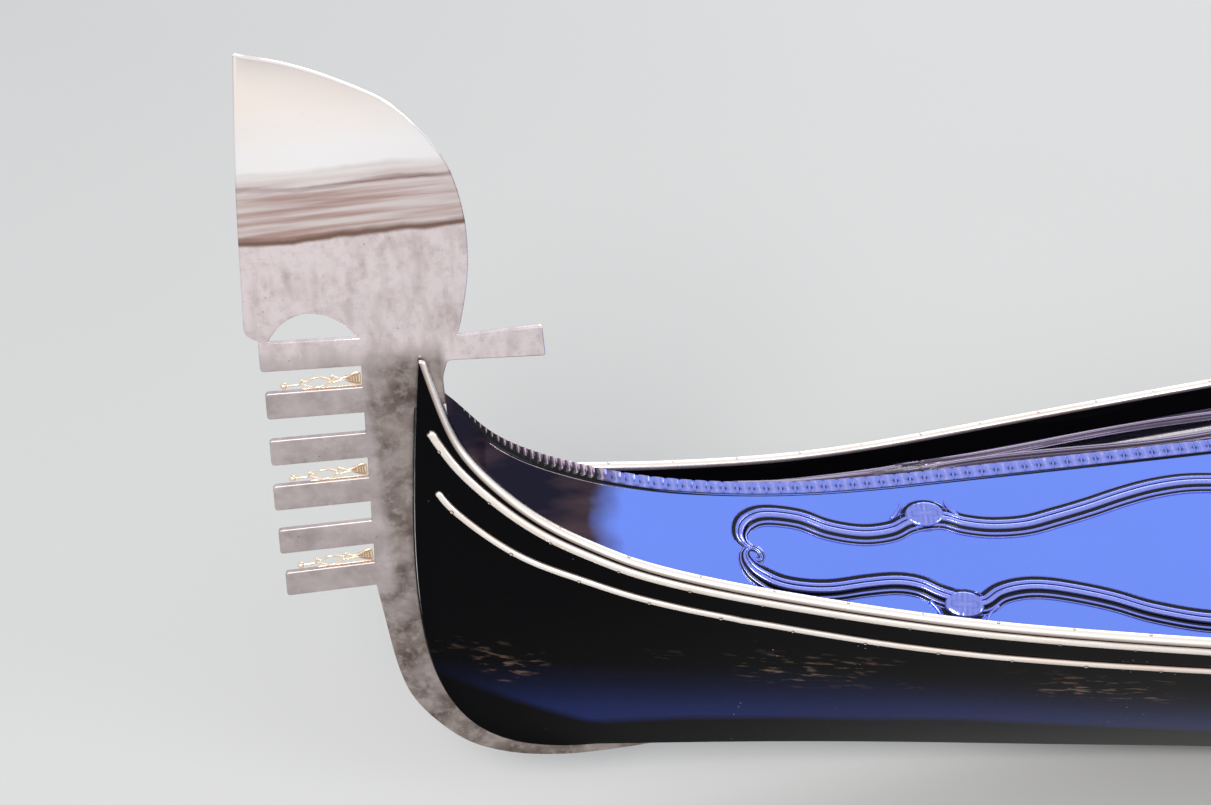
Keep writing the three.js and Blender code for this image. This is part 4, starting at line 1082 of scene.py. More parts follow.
def deck_panel(side, ends, ridge_z):
    """A deck panel's shell, cut clear of the side plank."""
    x = stations(ends, DECK_STEP)[:, None]
    breadth = np.abs(deck_point(side, x, 1, ridge_z)[..., 1])
    top = deck_point(side, x, np.linspace(0, 1, 26) * (1 - 0.5 / breadth), ridge_z)
    under = top - (0, 0, DECK)
    limit = inside_y(side, under[:, -1, 0], under[:, -1, 2])[:, None] - 0.5
    under[..., 1] = side * np.minimum(np.abs(under[..., 1]), np.maximum(limit, 0.4))
    return thick(top, under)


DECKS = (("foredeck", FOREDECK, fore_ridge_z), ("afterdeck", AFTERDECK, aft_ridge_z))
# How far forward of its end the foredeck's panel runs, to close against the stem
STEM_REACH = 30
# How much nearer amidships than its deck the edge bead starts, how far from the plank it runs, and
# the breadth of deck below which it stops
BEAD = {"start": 12, "inset": 9.5, "breadth": 60}
EDGE_BEAD = [(-8, -1), (-8, 0.6), (-6.6, 2.6), (-4.4, 3.2), (-2.4, 2.2), (-1.4, 0.9), (0, 2.2), (1.4, 4.2),
             (4, 5.4), (6.6, 4.2), (8, 1), (8, -1)]
# How dark each point of the edge bead is painted: 1 is painted shade in its hollows and at its feet, 0 a
# pale painted highlight on its crests.
EDGE_GROOVES = [1, 1, 0.2, 0, 0.4, 1, 0.6, 0.2, 0, 0.2, 1, 1]


def build_decks(sizes):
    for name, ends, ridge_z in DECKS:
        for word, side in SIDES:
            reach = (ends[0] + STEM_REACH, ends[1]) if ends[0] > 0 else ends
            panel = Solid().add(deck_panel(side, reach, ridge_z))
            panel = panel.make(f"{word}_{name}_panel", deck_lacquer())
            stand_for(panel, "hull", deck_lacquer(), f"{word}_{name}")
            x = stations((ends[0] - BEAD["start"] * np.sign(ends[0]), ends[1]), DECK_STEP)
            breadth = np.abs(deck_point(side, x, 1, ridge_z)[:, 1])
            wide = breadth > BEAD["breadth"]
            x, t = x[wide], 1 - BEAD["inset"] / breadth[wide]
            path, up = deck_point(side, x, t, ridge_z), deck_up(side, x, t, ridge_z)
            profile = np.array(EDGE_BEAD) * (side * (1 if x[0] > x[-1] else -1), 1)
            rings = sweep(path + up * 0.6, up, profile)
            bead = Solid().add(skin(rings), groove=np.tile(EDGE_GROOVES, len(path)))
            stand_for(bead.make(f"{word}_{name}_edge_bead", carved_lacquer(), sharp=50), "hull",
                      carved_lacquer())


# Carved ridges

# Each ridge: its height over the deck, and the x beyond which its links are the head's
RIDGES = (
    {"name": "foredeck", "ends": (5208, 2352), "ridge": fore_ridge_z, "height": 14, "head": 4960},
    {"name": "afterdeck", "ends": (-2002, -5440), "ridge": aft_ridge_z, "height": 13, "head": -5150},
)
RIDGE_HALF = 18
HEAD_PITCH = 0.52  # of a link's pitch, where the ridge runs up to a head


def ridge_reach(x, ridge_z):
    """How much of each deck's breadth the ridge covers, and how steeply the deck falls there."""
    edge = deck_point(PORT, x, 1, ridge_z)
    breadth = np.minimum(edge[:, 1], np.abs(deck_point(STARBOARD, x, 1, ridge_z)[:, 1]))
    half = np.minimum(RIDGE_HALF, breadth - 3)
    for _ in range(3):
        fall = (ridge_z(x) - deck_point(STARBOARD, x, half / breadth, ridge_z)[:, 2]) / half
        half = np.minimum(RIDGE_HALF / np.sqrt(1 + fall ** 2), breadth - 3)
    return half, fall


def ridge_profile(share, height):
    return 1.2 + (height - 1.2) * (1 - share ** 2) ** 0.6


def link_shape(height, length, gap):
    """One link of the ridge: domed, with a dark notch at each end of both its flanks."""
    across = np.array([-0.91, -0.8, -0.6, -0.35, 0, 0.35, 0.6, 0.8, 0.91])
    notch = np.array([0, 0.2, 0.85, 0.25, 0, 0.25, 0.85, 0.2, 0])
    rings, grooves = [], []
    for u, cut in ((-1, 1), (-0.8, 0.6), (0, 0), (0.8, 0.6), (1, 1)):
        dome = 0.8 * (1 - u ** 4) * (1 - across ** 4)
        x = u * (length - gap) / 2 - 2 * (1 - np.abs(across))
        z = ridge_profile(across, height) + dome - 1.2 * cut * notch
        top = np.stack([x, across * RIDGE_HALF, z], -1)
        rings.append(np.concatenate([top, top[[-1, 0]] - (0, 0, 2)]))
        grooves.append(np.append(np.clip(0.16 * abs(u) + cut * notch, 0, 1), (1, 1)))
    shape = Solid().add(skin(np.array(rings)), groove=np.concatenate(grooves))
    return shape.make("link_shape", carved_lacquer())


def build_ridges(sizes):
    pitch = sizes.link_pitch * METRE
    for ridge in RIDGES:
        name, ridge_z, height = ridge["name"], ridge["ridge"], ridge["height"]
        x = stations(ridge["ends"], DECK_STEP)
        half, fall = ridge_reach(x, ridge_z)
        size = half / RIDGE_HALF
        share = np.linspace(1, -1, 17)
        y = share * half[:, None]
        line = ridge_z(x)[:, None] - fall[:, None] * np.abs(y)
        scale = (size * end_taper(x, 16))[:, None]
        crest = (ridge_profile(share, height) - 1.6 * (1 - share ** 2)) * scale
        top = np.stack([np.broadcast_to(x[:, None], y.shape), y, line + crest], -1)
        under = np.stack([np.broadcast_to(x[:, None], y.shape), y, line + 0.3 * scale], -1)[:, ::2][:, ::-1]
        shade = np.concatenate([np.interp(np.abs(share), (0.86, 0.92), (0.3, 1)), np.ones(9)])
        head = np.abs(x) > abs(ridge["head"])
        shades = np.where(head[:, None], 1, shade)
        cap = Solid().add(skin(np.concatenate([top, under], 1)), groove=shades.ravel())
        for side in (PORT, STARBOARD):
            # Along each foot, a black rod of painted shadow and a thin lip with a pale painted highlight.
            for place, radius, dark in ((1.06, 2.4, 1), (1.26, 1.2, 0.05)):
                foot = ridge_z(x) - fall * half * place + radius * 0.5
                fold = np.stack([x, side * half * place, foot], -1)
                cap.add(tube(fold, radius * (0.35 + 0.65 * size), count=6), groove=dark)
        cap = cap.make(f"{name}_ridge_cap", carved_lacquer(), sharp=60)
        stand_for(cap, "hull", carved_lacquer(), f"{name}_ridge")
        path = np.stack([x, np.zeros(x.shape), ridge_z(x)], -1)
        rise = np.gradient(path[:, 2], path[:, 0])
        up = unit(np.stack([-rise, np.zeros(len(path)), np.ones(len(path))], -1))
        path -= up * (height * size)[:, None] * (1 - up[:, 2:])
        beyond = np.abs(x) - abs(ridge["head"])
        inside = (x < x.max() - 12) & (x > x.min() + 12)
        for part, kept, gap, spacing in (("ridge", inside & (beyond < 0), 0.5, pitch),
                                         ("head", inside & (beyond > 8), 7, pitch * HEAD_PITCH)):
            line = [(path[kept], up[kept], fall[kept], size[kept])]
            links = repeat(f"{name}_{part}_links", line, link_shape(height, pitch, gap), spacing,
                           carved_lacquer())
            stand_for(links, "hull", carved_lacquer())


# Deck mouldings

# Each band: x and share of the way from ridge to rim, from its scroll at the bow to the one aft
UPPER_BAND = [
    (4699, 0.545), (4710, 0.5), (4714, 0.43), (4704, 0.335), (4680, 0.268), (4648, 0.253), (4600, 0.282),
    (4552, 0.36), (4492, 0.397), (4440, 0.375), (4408, 0.325), (4376, 0.3), (4340, 0.302), (4304, 0.345),
    (4255, 0.37), (4195, 0.365), (4136, 0.327), (4072, 0.283), (4004, 0.233), (3940, 0.2), (3870, 0.19),
    (3790, 0.215), (3700, 0.275), (3610, 0.33), (3560, 0.345), (3500, 0.34), (3440, 0.32), (3370, 0.265),
    (3280, 0.2), (3080, 0.16), (2860, 0.18), (2740, 0.24), (2694, 0.335), (2684, 0.43), (2688, 0.5),
    (2699, 0.545),
]
LOWER_BAND = [
    (4695, 0.64), (4686, 0.645), (4682, 0.6), (4690, 0.55), (4704, 0.548), (4713, 0.605), (4710, 0.68),
    (4696, 0.755), (4664, 0.82), (4620, 0.835), (4568, 0.815), (4504, 0.757), (4452, 0.727),
    (4412, 0.737), (4378, 0.785), (4344, 0.813), (4305, 0.822), (4270, 0.757), (4228, 0.723),
    (4184, 0.72), (4128, 0.743), (4072, 0.777), (4008, 0.827), (3914, 0.862), (3820, 0.85), (3740, 0.8),
    (3600, 0.72), (3540, 0.75), (3480, 0.81), (3440, 0.82), (3410, 0.78), (3370, 0.73), (3290, 0.71),
    (3200, 0.75), (3120, 0.8), (2940, 0.85), (2800, 0.82), (2716, 0.76), (2690, 0.68), (2686, 0.605),
    (2695, 0.548), (2709, 0.55), (2717, 0.6), (2713, 0.645), (2704, 0.64),
]
# Each band with the length of its curled tips and the length over which it then widens
BANDS = ((UPPER_BAND, 8, 60), (LOWER_BAND, 52, 85))
# Where shells sit on the bands, with the way their ears point
BAND_SHELLS = [(4374, 0.296, -1), (4338, 0.818, 1), (3530, 0.336, -1), (3458, 0.815, 1)]
# From the band's ridge side to its rim side and up from the deck, with how dark each is painted: 1 for
# painted shade in a groove, 0 for a pale painted highlight on a lip
BAND_PROFILE = [
    (-23.5, -1, 0.2), (-23.5, 1.4, 0), (-22.2, 2.6, 0), (-21, 1.4, 0.9), (-20, 1, 1), (-14.6, 1.6, 1),
    (-13.4, 5.2, 0.17), (-10, 6.6, 0.16), (-7.2, 5.8, 0.3), (-6, 4, 0.9), (-4.6, 5.8, 0.3), (-1.6, 8, 0.15),
    (2, 8.6, 0.05), (5.2, 7.4, 0.17), (6.8, 2.4, 1), (11.2, 1.2, 1), (12.4, 4.2, 0.3), (15, 5.6, 0.16),
    (17.4, 4.8, 0.3), (18.6, 1.4, 1), (20.6, 1.2, 1), (21.6, 2.4, 0.1), (22.8, 2.4, 0), (23.5, 1, 0.2),
    (23.5, -1, 0.2),
]
PROFILE_WIDTH = 47
# A shell's half sizes, how far outwards it sits and how far apart its ribs are
SHELL = {"half_length": 45, "half_width": 32, "shift": 7, "rib": 9.5}
# Its rings: share of the half sizes, height, and how dark each is painted, from painted shade in grooves at
# 1 to a painted highlight at 0
SHELL_RINGS = (
    (1, -1, 0.2), (1, 1.6, 0.1), (0.97, 2.6, 0), (0.94, 1.6, 1), (0.82, 1.8, 1), (0.79, 6.2, 0.5),
    (0.74, 8, 0.2), (0.66, 9.2, 0.2), (0.54, 10.2, 0.2), (0.38, 10.8, 0.2), (0.2, 11.1, 0.2),
    (0.02, 11.2, 0.2),
)
# Rings smaller than this share carry the ribs
RIBBED = 0.75
# The cusp at each of its shoulders: along the band, outwards
CUSP = [(62, 2), (54, 10), (47, 18), (42, 27), (41, 36)]


def band_line(side, rows, step=6):
    """A band's line in x and t, smoothed in true distances and kept clear of ridge and rim."""
    breadth = {}
    for x in np.arange(2600, 4800, 20):
        breadth[x] = float(np.abs(deck_point(side, x, 1, fore_ridge_z)[1]))
    places, widths = np.array(list(breadth)), np.array(list(breadth.values()))
    line = through([(x, share * np.interp(x, places, widths)) for x, share in rows], step)
    width = np.interp(line[:, 0], places, widths)
    return line[:, 0], np.clip(line[:, 1], RIDGE_HALF + 28, width - 34) / width


def shell_parts(centre, along, outward, up):
    """A ribbed oval shell in a rim of its own, with a cusp at each shoulder."""
    rings, grooves = [], []
    turn = np.linspace(0, 2 * np.pi, 60, endpoint=False)
    for share, height, depth in SHELL_RINGS:
        across = SHELL["half_length"] * share * np.cos(turn)
        rib = (1 + np.cos(2 * np.pi * across / SHELL["rib"])) / 2 * (share < RIBBED)
        rings.append(centre + outward * SHELL["shift"] + np.outer(across, along)
                     + np.outer(SHELL["half_width"] * share * np.sin(turn), outward)
                     + np.outer(height + 0.8 * rib, up))
        # Rib tops get a paler painted highlight and the hollows between them painted shade.
        grooves.append(np.clip(depth + (0.24 - 0.4 * rib) * (share < RIBBED), 0, 1))
    parts = [(skin(np.array(rings)), np.concatenate(grooves))]
    cusp = through(CUSP, 3)
    for way in (-1, 1):
        path = centre + np.outer(way * cusp[:, 0], along) + np.outer(cusp[:, 1], outward) + up * 2.4
        parts.append((tube(path, np.linspace(4.6, 1.8, len(path)), up), np.float64(0.16)))
    return parts


def build_mouldings(sizes):
    profile = np.array(BAND_PROFILE, float)
    for word, side in SIDES:
        shape = profile[:, :2] * (side * sizes.band_width * METRE / PROFILE_WIDTH, 1)
        carving = Solid()
        for rows, curl, widening in BANDS:
            x, t = band_line(side, rows)
            path, up = deck_point(side, x, t, fore_ridge_z), deck_up(side, x, t, fore_ridge_z)
            run = run_along(path)
            near = np.clip((np.minimum(run, run[-1] - run) - curl) / widening, 0, 1)
            rings = sweep(path + up * 0.7, up, shape, scale=0.3 + 0.7 * np.sin(near * np.pi / 2))
            carving.add(skin(rings), groove=np.tile(profile[:, 2], len(path)))
        for x, t, way in BAND_SHELLS:
            points = deck_point(side, np.array([x - 10, x, x + 10.0]), t, fore_ridge_z)
            up = deck_up(side, x, t, fore_ridge_z)
            along = unit(points[2] - points[0])
            outward = np.cross(up, along)
            outward *= way * side * np.sign(outward[1])
            for shell, grooves in shell_parts(points[1], along, outward, up):
                carving.add(shell, groove=grooves)
        band = carving.make(f"{word}_band_moulding", carved_lacquer(), sharp=70)
        stand_for(band, "hull", carved_lacquer(), f"{word}_moulding")


# Irons

# Measured from the stem head: forward, up
TOOTH = {"count": 6, "pitch": 96.4, "height": 54, "top": 52, "radius": 7}
BLADE = [
    (-70, 37), (-78, 60), (-95, 132), (-103, 195), (-103, 267), (-90, 344), (-62, 408), (-9, 477),
    (72, 530), (145, 565), (214, 587),
]
TAIL = [
    (121, -572), (113, -669), (100, -744), (79, -798), (49, -847), (9, -896), (-39, -932), (-112, -962),
    (-213, -979), (-341, -979), (-419, -972),
]
ARM = [(-38, -100, 0), (-38, -45, 8), (-49, -11, 8), (-217, -24, 5), (-215, 37, 5)]
IRON, STERN_IRON = 11, 9


def tooth_root(i):
    return 94 + 6.2 * i, TOOTH["top"] - TOOTH["pitch"] * i


def tooth_tip(i):
    across = 246 + 41 * (1 - (1 - i / 5) ** 2) + 16 * max(0, 1 - 0.75 * i)
    return across, TOOTH["top"] - TOOTH["pitch"] * i + 10 * (1 - i / 5)


def corner(before, here, after, radius, count=5):
    """A rounded corner's points."""
    here = np.array(here, float)
    back, on = np.array(before, float) - here, np.array(after, float) - here
    radius = min(radius, np.linalg.norm(back) / 2, np.linalg.norm(on) / 2)
    start, end = here + unit(back) * radius, here + unit(on) * radius
    t = np.linspace(0, 1, count)[:, None]
    return ((1 - t) ** 2 * start + 2 * t * (1 - t) * here + t ** 2 * end).tolist()


def rounded(corners):
    """An outline through corners of (across, up, radius)."""
    line = []
    for i, (x, z, radius) in enumerate(corners):
        if radius:
            line += corner(corners[i - 1][:2], (x, z), corners[(i + 1) % len(corners)][:2], radius)
        else:
            line.append((x, z))
    return line


def end_profile(end, offset, count=40):
    """The hull's end in side view, from the foot up, moved outwards by an offset."""
    v = np.linspace(0, 1, count)
    here = outer(PORT, end["head"], v)
    along = unit(outer(PORT, end["head"], np.minimum(v + 0.01, 1))
                 - outer(PORT, end["head"], np.maximum(v - 0.01, 0)))
    outward = np.sign(end["head"])
    return np.stack([here[:, 0] + outward * np.abs(along[:, 2]) * offset,
                     here[:, 2] - np.abs(along[:, 0]) * offset], -1)


def plate(name, outlines, thickness, bevel, faces, edges):
    """A flat plate in X and Z, centred on the middle plane, with rounded edges in a second finish."""
    curve = bpy.data.curves.new(name, "CURVE")
    curve.dimensions, curve.fill_mode = "2D", "BOTH"
    curve.extrude, curve.bevel_depth = (thickness / 2 - bevel) * MM, bevel * MM
    curve.offset, curve.bevel_resolution = -bevel * MM, 2
    for outline in outlines:
        spline = curve.splines.new("POLY")
        spline.points.add(len(outline) - 1)
        spline.use_cyclic_u = True
        for point, (x, z) in zip(spline.points, outline):
            point.co = (x * MM, z * MM, 0, 1)
    holder = placed(name + "_outline", curve)
    bpy.context.view_layer.update()
    mesh = evaluated(holder)
    bpy.data.objects.remove(holder)
    mesh.transform(Matrix.Rotation(math.pi / 2, 4, "X"))
    shape = bmesh.new()
    shape.from_mesh(mesh)
    bmesh.ops.remove_doubles(shape, verts=shape.verts, dist=2e-6)
    bmesh.ops.recalc_face_normals(shape, faces=shape.faces)
    for face in shape.faces:
        face.material_index = 0 if abs(face.normal.y) > 0.99 else 1
    shape.to_mesh(mesh)
    shape.free()
    paint(mesh, faces, edges)
    mesh.name = name
    shade(mesh, 40)
    return placed(name, mesh)


def bow_outline():
    """The bow iron's outline: blade, teeth, tail, stem and arm."""
    line = [(x, z, 0) for x, z in through(BLADE, 12)]
    line += [(221, 590, 8), (238, 470, 0), (256, 330, 0), (270, 200, 0), (282, 84, 14), (256, 66, 0)]
    for i in range(TOOTH["count"]):
        root, tip = tooth_root(i), tooth_tip(i)
        height, radius = TOOTH["height"], TOOTH["radius"]
        if i:
            line.append((*root, 1.5))
        line += [(*tip, radius), (tip[0] + 4, tip[1] - height, radius), (root[0] + 3, root[1] - height, 1.5)]
    line += [(x, z, 0) for x, z in through(TAIL, 14)]
    under = [(x - STEM_X, float(chine_z(x)) - 0.8 - STEM_Z, 0) for x in (4840, 4920, 5000)]
    stem = [(x - STEM_X, z - STEM_Z, 0) for x, z in end_profile(BOW, 0.8)[1:] if z < STEM_Z - 100]
    line += under + stem + [(stem[-1][0] - 2, -101, 0)] + ARM
    return [(x + STEM_X, z + STEM_Z) for x, z in rounded(line)]


def arch_outline():
    """The arch's hole, closed at the front, with its flat foot on the first tooth."""
    t = np.linspace(0, 1, 26)[:, None]
    ends = np.array([(245, 64), (209, 131), (138, 131), (95, 54)], float) + (STEM_X, STEM_Z)
    line = ((1 - t) ** 3 * ends[0] + 3 * t * (1 - t) ** 2 * ends[1] + 3 * t * t * (1 - t) * ends[2]
            + t ** 3 * ends[3])
    return line.tolist()


def build_bow_iron(sizes):
    iron = plate("ferro", [bow_outline(), arch_outline()], IRON, sizes.iron_bevel * METRE, blade_steel(),
                 bright_steel())
    seat = end_profile(BOW, 0.8, 200) * MM
    points = points_of(iron.data)[:, ::2]
    far = np.min(np.linalg.norm(points[:, None] - seat[None], axis=2), axis=1)
    # Faces along the seat on the stem are marked for painted shade in the blade's material.
    seated = [all(far[i] < 0.0045 for i in polygon.vertices) for polygon in iron.data.polygons]
    seat_shade = iron.data.attributes.new("groove", "FLOAT", "FACE")
    seat_shade.data.foreach_set("value", np.array(seated, np.float32))
    for polygon, dark in zip(iron.data.polygons, seated):
        if dark:
            polygon.material_index = 0
    stand_for(iron, "hull", blade_steel(), "bow_iron")


def build_ornaments(sizes):
    """Brass ornaments: ball, stem, leaf loop and fan, from tip to root."""
    upper = through([(1, 28), (12, 26), (24, 20), (36, 17), (44, 20.5), (49, 24), (51.5, 16), (60, 19.5),
                     (70, 22.5), (80, 22), (90, 17), (96, 15.5), (101, 20), (103.5, 12), (114, 10.6),
                     (128, 10.5)], 2.2)
    lower = through([(14, 12), (26, 14), (38, 13), (47, 10.5), (53, 12), (62, 6.5), (73, 2.6), (84, 3.2),
                     (94, 8), (102, 11), (112, 10.4)], 2.2)
    floor = through([(0, 1.6), (50, 1.4), (100, 1.5)], 10)
    for i, gap in enumerate((0, 2, 4)):
        (root_x, root_z), (tip_x, tip_z) = tooth_root(gap + 1), tooth_tip(gap + 1)
        tilt = math.atan2(tip_z - root_z, tip_x - root_x)
        origin = np.array([STEM_X + root_x + 1.2, 0, STEM_Z + root_z + 0.4])

        def place(points):
            across, up = np.asarray(points, float).T
            return origin + np.stack([across * math.cos(tilt) - up * math.sin(tilt), 0 * across,
                                      across * math.sin(tilt) + up * math.cos(tilt)], -1)

        made = Solid()
        flat = (0, 1, 0)
        thin = np.interp(upper[:, 0], (0, 40, 60, 100, 128), (2.6, 2.4, 1.8, 2, 1.7))
        made.add(tube(place(upper), thin, flat))
        thin = np.interp(lower[:, 0], (14, 40, 60, 112), (1.2, 1.8, 1.8, 1.4))
        made.add(tube(place(lower), thin, flat))
        made.add(tube(place(floor), 1.3, flat))
        made.add(tube(place(through([(1.6, 2), (1.6, 15), (1.6, 29)], 6)), 1.7, flat))
        fan = np.array([[(2, 4), (8, 4.5), (16, 7), (26, 12)],
                        [(2, 27), (8, 26), (16, 24.5), (26, 22)]], float)
        sheets = [np.stack([place(row) for row in fan]) + (0, y, 0) for y in (-1.1, 1.1)]
        made.add(thick(*sheets), groove=0.6)
        for across in (3, 7.5, 12, 16.5):
            foot, head = (np.interp(across, fan[row, :, 0], fan[row, :, 1]) for row in (0, 1))
            made.add(tube(place(through([(across, foot), (across + 0.6, head)], 6)), 1.5, flat, 6))
        ball = [(0.2, -6.2), (2.9, -5.5), (5.1, -3.3), (6.2, 0), (5.1, 3.3), (2.9, 5.5), (0.2, 6.2)]
        made.add(lathe(ball, place([(131, 10.5)])[0], (0, 1, 0), 16))
        piece = made.make(f"tooth_ornament_{i + 1}", brass(), sharp=50)
        stand_for(piece, "hull", brass(), f"ornament_{i + 1}")


def build_stern_iron(sizes):
    head = [(x, z) for x, z in end_profile(STERN, 0.8, 60) if z > 420]
    back = [(x, z) for x, z in end_profile(STERN, 15, 60) if z > 420]
    middle = through([(-8, -60), (-14, 20), (-42, 85), (-78, 140), (-72, 196), (-24, 212), (-2, 176),
                      (-26, 152)], 7) + (STERN_X, STERN_Z)
    share = np.linspace(0, 1, len(middle))
    half = 7 + 9 * np.sin(np.pi * np.minimum(1, share * 1.15)) ** 2
    ahead = unit(np.gradient(middle, axis=0))
    normal = np.stack([-ahead[:, 1], ahead[:, 0]], -1) * half[:, None]
    curl = np.concatenate([middle + normal, (middle - normal)[::-1]]).tolist()
    bevel = sizes.iron_bevel * METRE
    strip = plate("stern_strip", [head + back[::-1]], STERN_IRON, bevel, dull_steel(), bright_steel())
    stand_for(strip, "hull", dull_steel(), "stern_iron")
    stand_for(plate("stern_curl", [curl], STERN_IRON + 0.6, bevel, dull_steel(), bright_steel()), "hull",
              dull_steel())


# Cockpit

FLOOR_ENDS = (1740, -1660)
FRAME_DEPTH = 30
TIMBERS = (1250, 850, 450, 50, -350, -750, -1150)


def floor_edge(side, x):
    table = [(at, float(inside_y(side, at, FLOOR_Z - FLOOR)) - FRAME_DEPTH - 14)
             for at in (FLOOR_ENDS[0], 1250, 600, 0, -600, -1250, FLOOR_ENDS[1])]
    table.sort()
    return np.interp(x, *np.array(table).T)


def build_floor(sizes):
    """Boards along the cockpit, nailed to the cross timbers."""
    board = sizes.board_width * METRE
    x = np.linspace(FLOOR_ENDS[0] - 1, FLOOR_ENDS[1] + 1, 90)
    low, high = -floor_edge(STARBOARD, x), floor_edge(PORT, x)
    made = Solid()
    tones = np.random.default_rng(3).random(40)
    first = math.floor(low.min() / board)
    for n in range(first, math.ceil(high.max() / board)):
        near, far = np.maximum(n * board + 1.5, low), np.minimum((n + 1) * board - 1.5, high)
        kept = far - near > 14
        if kept.sum() < 3:
            continue
        y = mix(near[kept][:, None], far[kept][:, None], np.linspace(0, 1, 4))
        top = np.stack([np.broadcast_to(x[kept][:, None], y.shape), y, np.full(y.shape, FLOOR_Z)], -1)
        made.add(thick(top, top - (0, 0, FLOOR)), groove=tones[n - first])
    boards = made.make("floor_boards", floor_wood())
    stand_for(rounded_edges(boards, 1.6), "hull", floor_wood(), "cockpit_floor")
    paths = []
    for at in TIMBERS:
        start = math.ceil((-floor_edge(STARBOARD, at) + 20) / board) * board + board / 4
        end = math.floor((floor_edge(PORT, at) - 20) / board) * board - board / 4
        line = np.linspace(start, end, 40)
        for shift in (-8, 8):
            path = np.stack([np.full(40, at + shift), line, np.full(40, FLOOR_Z)], -1)
            paths.append((path, (0, 0, 1), 0, 1))
    heads = repeat("floor_nails", paths, nail_head(*FLOOR_NAIL), board / 2, nail_metal())
    stand_for(heads, "hull", nail_metal())
    softened("floor_frames", "floor_timbers", black_wood(), 2)


def build_woodwork(sizes):
    """Frames, thwarts, platform and the rowlock's block."""
    for node, name in (("port_frames", "port_ribs"), ("starboard_frames", "starboard_ribs")):
        softened(node, name, black_wood(), 2)
    for node in ("fore_thwart", "aft_thwart"):
        softened(node, f"{node}_board", black_wood(), 5)
    softened("stern_platform", "rower_board", black_wood(), 4)
    softened("rowlock_block", "rowlock_seat", black_wood(), 6)


def build_rowlock(sizes):
    """The carved walnut rowlock: its solid, rounded as by a spokeshave."""
    thing = placed("forcola", NODES["rowlock"].data.copy())
    grain = thing.modifiers.new("Even", "REMESH")
    grain.mode, grain.voxel_size = "VOXEL", 0.004
    worn = thing.modifiers.new("Worn", "SMOOTH")
    worn.factor, worn.iterations = 0.8, 16
    settle(thing)
    paint(thing.data, walnut())
    thing.data.shade_smooth()
    stand_for(thing, "hull", walnut(), "rowlock")


# Lockers

DOOR, LAP, BARREL, BULKHEAD = 14, 14, 6, 20
# Each bulkhead: its after face, the way its door looks, and the opening's y from and to, z from and to
WALLS = (
    {"name": "fore", "x": 2370, "faces": -1, "door": (-110, 290, 60, 420)},
    {"name": "aft", "x": -2040, "faces": 1, "door": (-100, 270, 40, 390)},
)


def framed_leaf(x0, x1, y0, y1, z0, z1, faces):
    """A door leaf's shell: its outer face steps down to a raised panel."""
    front, back = (x1, x0) if faces > 0 else (x0, x1)
    rings = [[(back, y, z) for y, z in ((y0, z0), (y1, z0), (y1, z1), (y0, z1))]]
    for inset, sunk in ((0, 0.001), (46, 0), (52, 5), (60, 5), (84, 1.2)):
        x = front - faces * sunk
        rings.append([(x, y, z) for y, z in ((y0 + inset, z0 + inset), (y1 - inset, z0 + inset),
                                             (y1 - inset, z1 - inset), (y0 + inset, z1 - inset))])
    return skin(np.array(rings, float))


def barrel(length):
    """A hinge knuckle's profile."""
    worn, full = BARREL - 1.2, BARREL + 0.2
    return [(worn, 0), (full, 0.8), (full, length - 0.8), (worn, length)]


def build_lockers(sizes):
    for wall in WALLS:
        name, faces = wall["name"], wall["faces"]
        y0, y1, z0, z1 = wall["door"]
        softened(f"{name}_bulkhead", f"{name}_partition", black_wood(), 2)
        face = wall["x"] + BULKHEAD if faces > 0 else wall["x"]
        line_x, line_y = face + faces * (GAP + DOOR / 2), y1 + LAP + BARREL + 2
        body = f"{name}_door"
        leaf = Solid().add(framed_leaf(line_x - DOOR / 2, line_x + DOOR / 2, y0 - LAP, y1 + LAP, z0 - LAP,
                                       z1 + LAP, faces))
        leaf = rounded_edges(leaf.make(f"{name}_door_leaf", black_wood()), 2)
        stand_for(leaf, body, black_wood(), f"{name}_locker_door")
        fittings, fixed = Solid(), Solid()
        for z in (z0 + 60, z1 - 60):
            for low in (z - 24, z + 10):
                fittings.add(lathe(barrel(14), np.array([line_x, line_y, low])))
            fixed.add(lathe(barrel(18), np.array([line_x, line_y, z - 9.0])))
            strap_x = line_x + faces * DOOR / 2
            fittings.add(block(min(strap_x, strap_x + faces * 2), max(strap_x, strap_x + faces * 2),
                               y1 - 70, line_y - 5, z - 24, z + 24))
            for y in (y1 - 58, y1 - 34, y1 - 10):
                dome = [(3.4, 0), (3, 1), (1.4, 1.9), (0.2, 2.1)]
                for dz in (-14, 14):
                    place = np.array([strap_x + faces * 1.8, y, z + dz])
                    fittings.add(lathe(dome, place, (faces, 0, 0), 12))
        knob = [(9, 0), (9.5, 1.5), (5, 4), (4.4, 9), (8, 12), (11, 16), (10.6, 20), (7, 21.7), (0.3, 22)]
        centre = np.array([line_x + faces * DOOR / 2, y0 + 30, (z0 + z1) / 2])
        fittings.add(lathe(knob, centre, (faces, 0, 0), 24))
        stand_for(fittings.make(f"{name}_door_fittings", brass()), body, brass())
        stand_for(fixed.make(f"{name}_hinge_knuckles", brass()), "hull", brass())


# Seats

SEAT = {"x0": -1000, "x1": -420, "y0": -300, "y1": 480, "top": 240, "back": 26}
# Each stool's middle: x, y
STOOLS = (("port", 560, 330), ("starboard", 560, -160))
STOOL = {"half": 150, "top": 215, "board": 22}


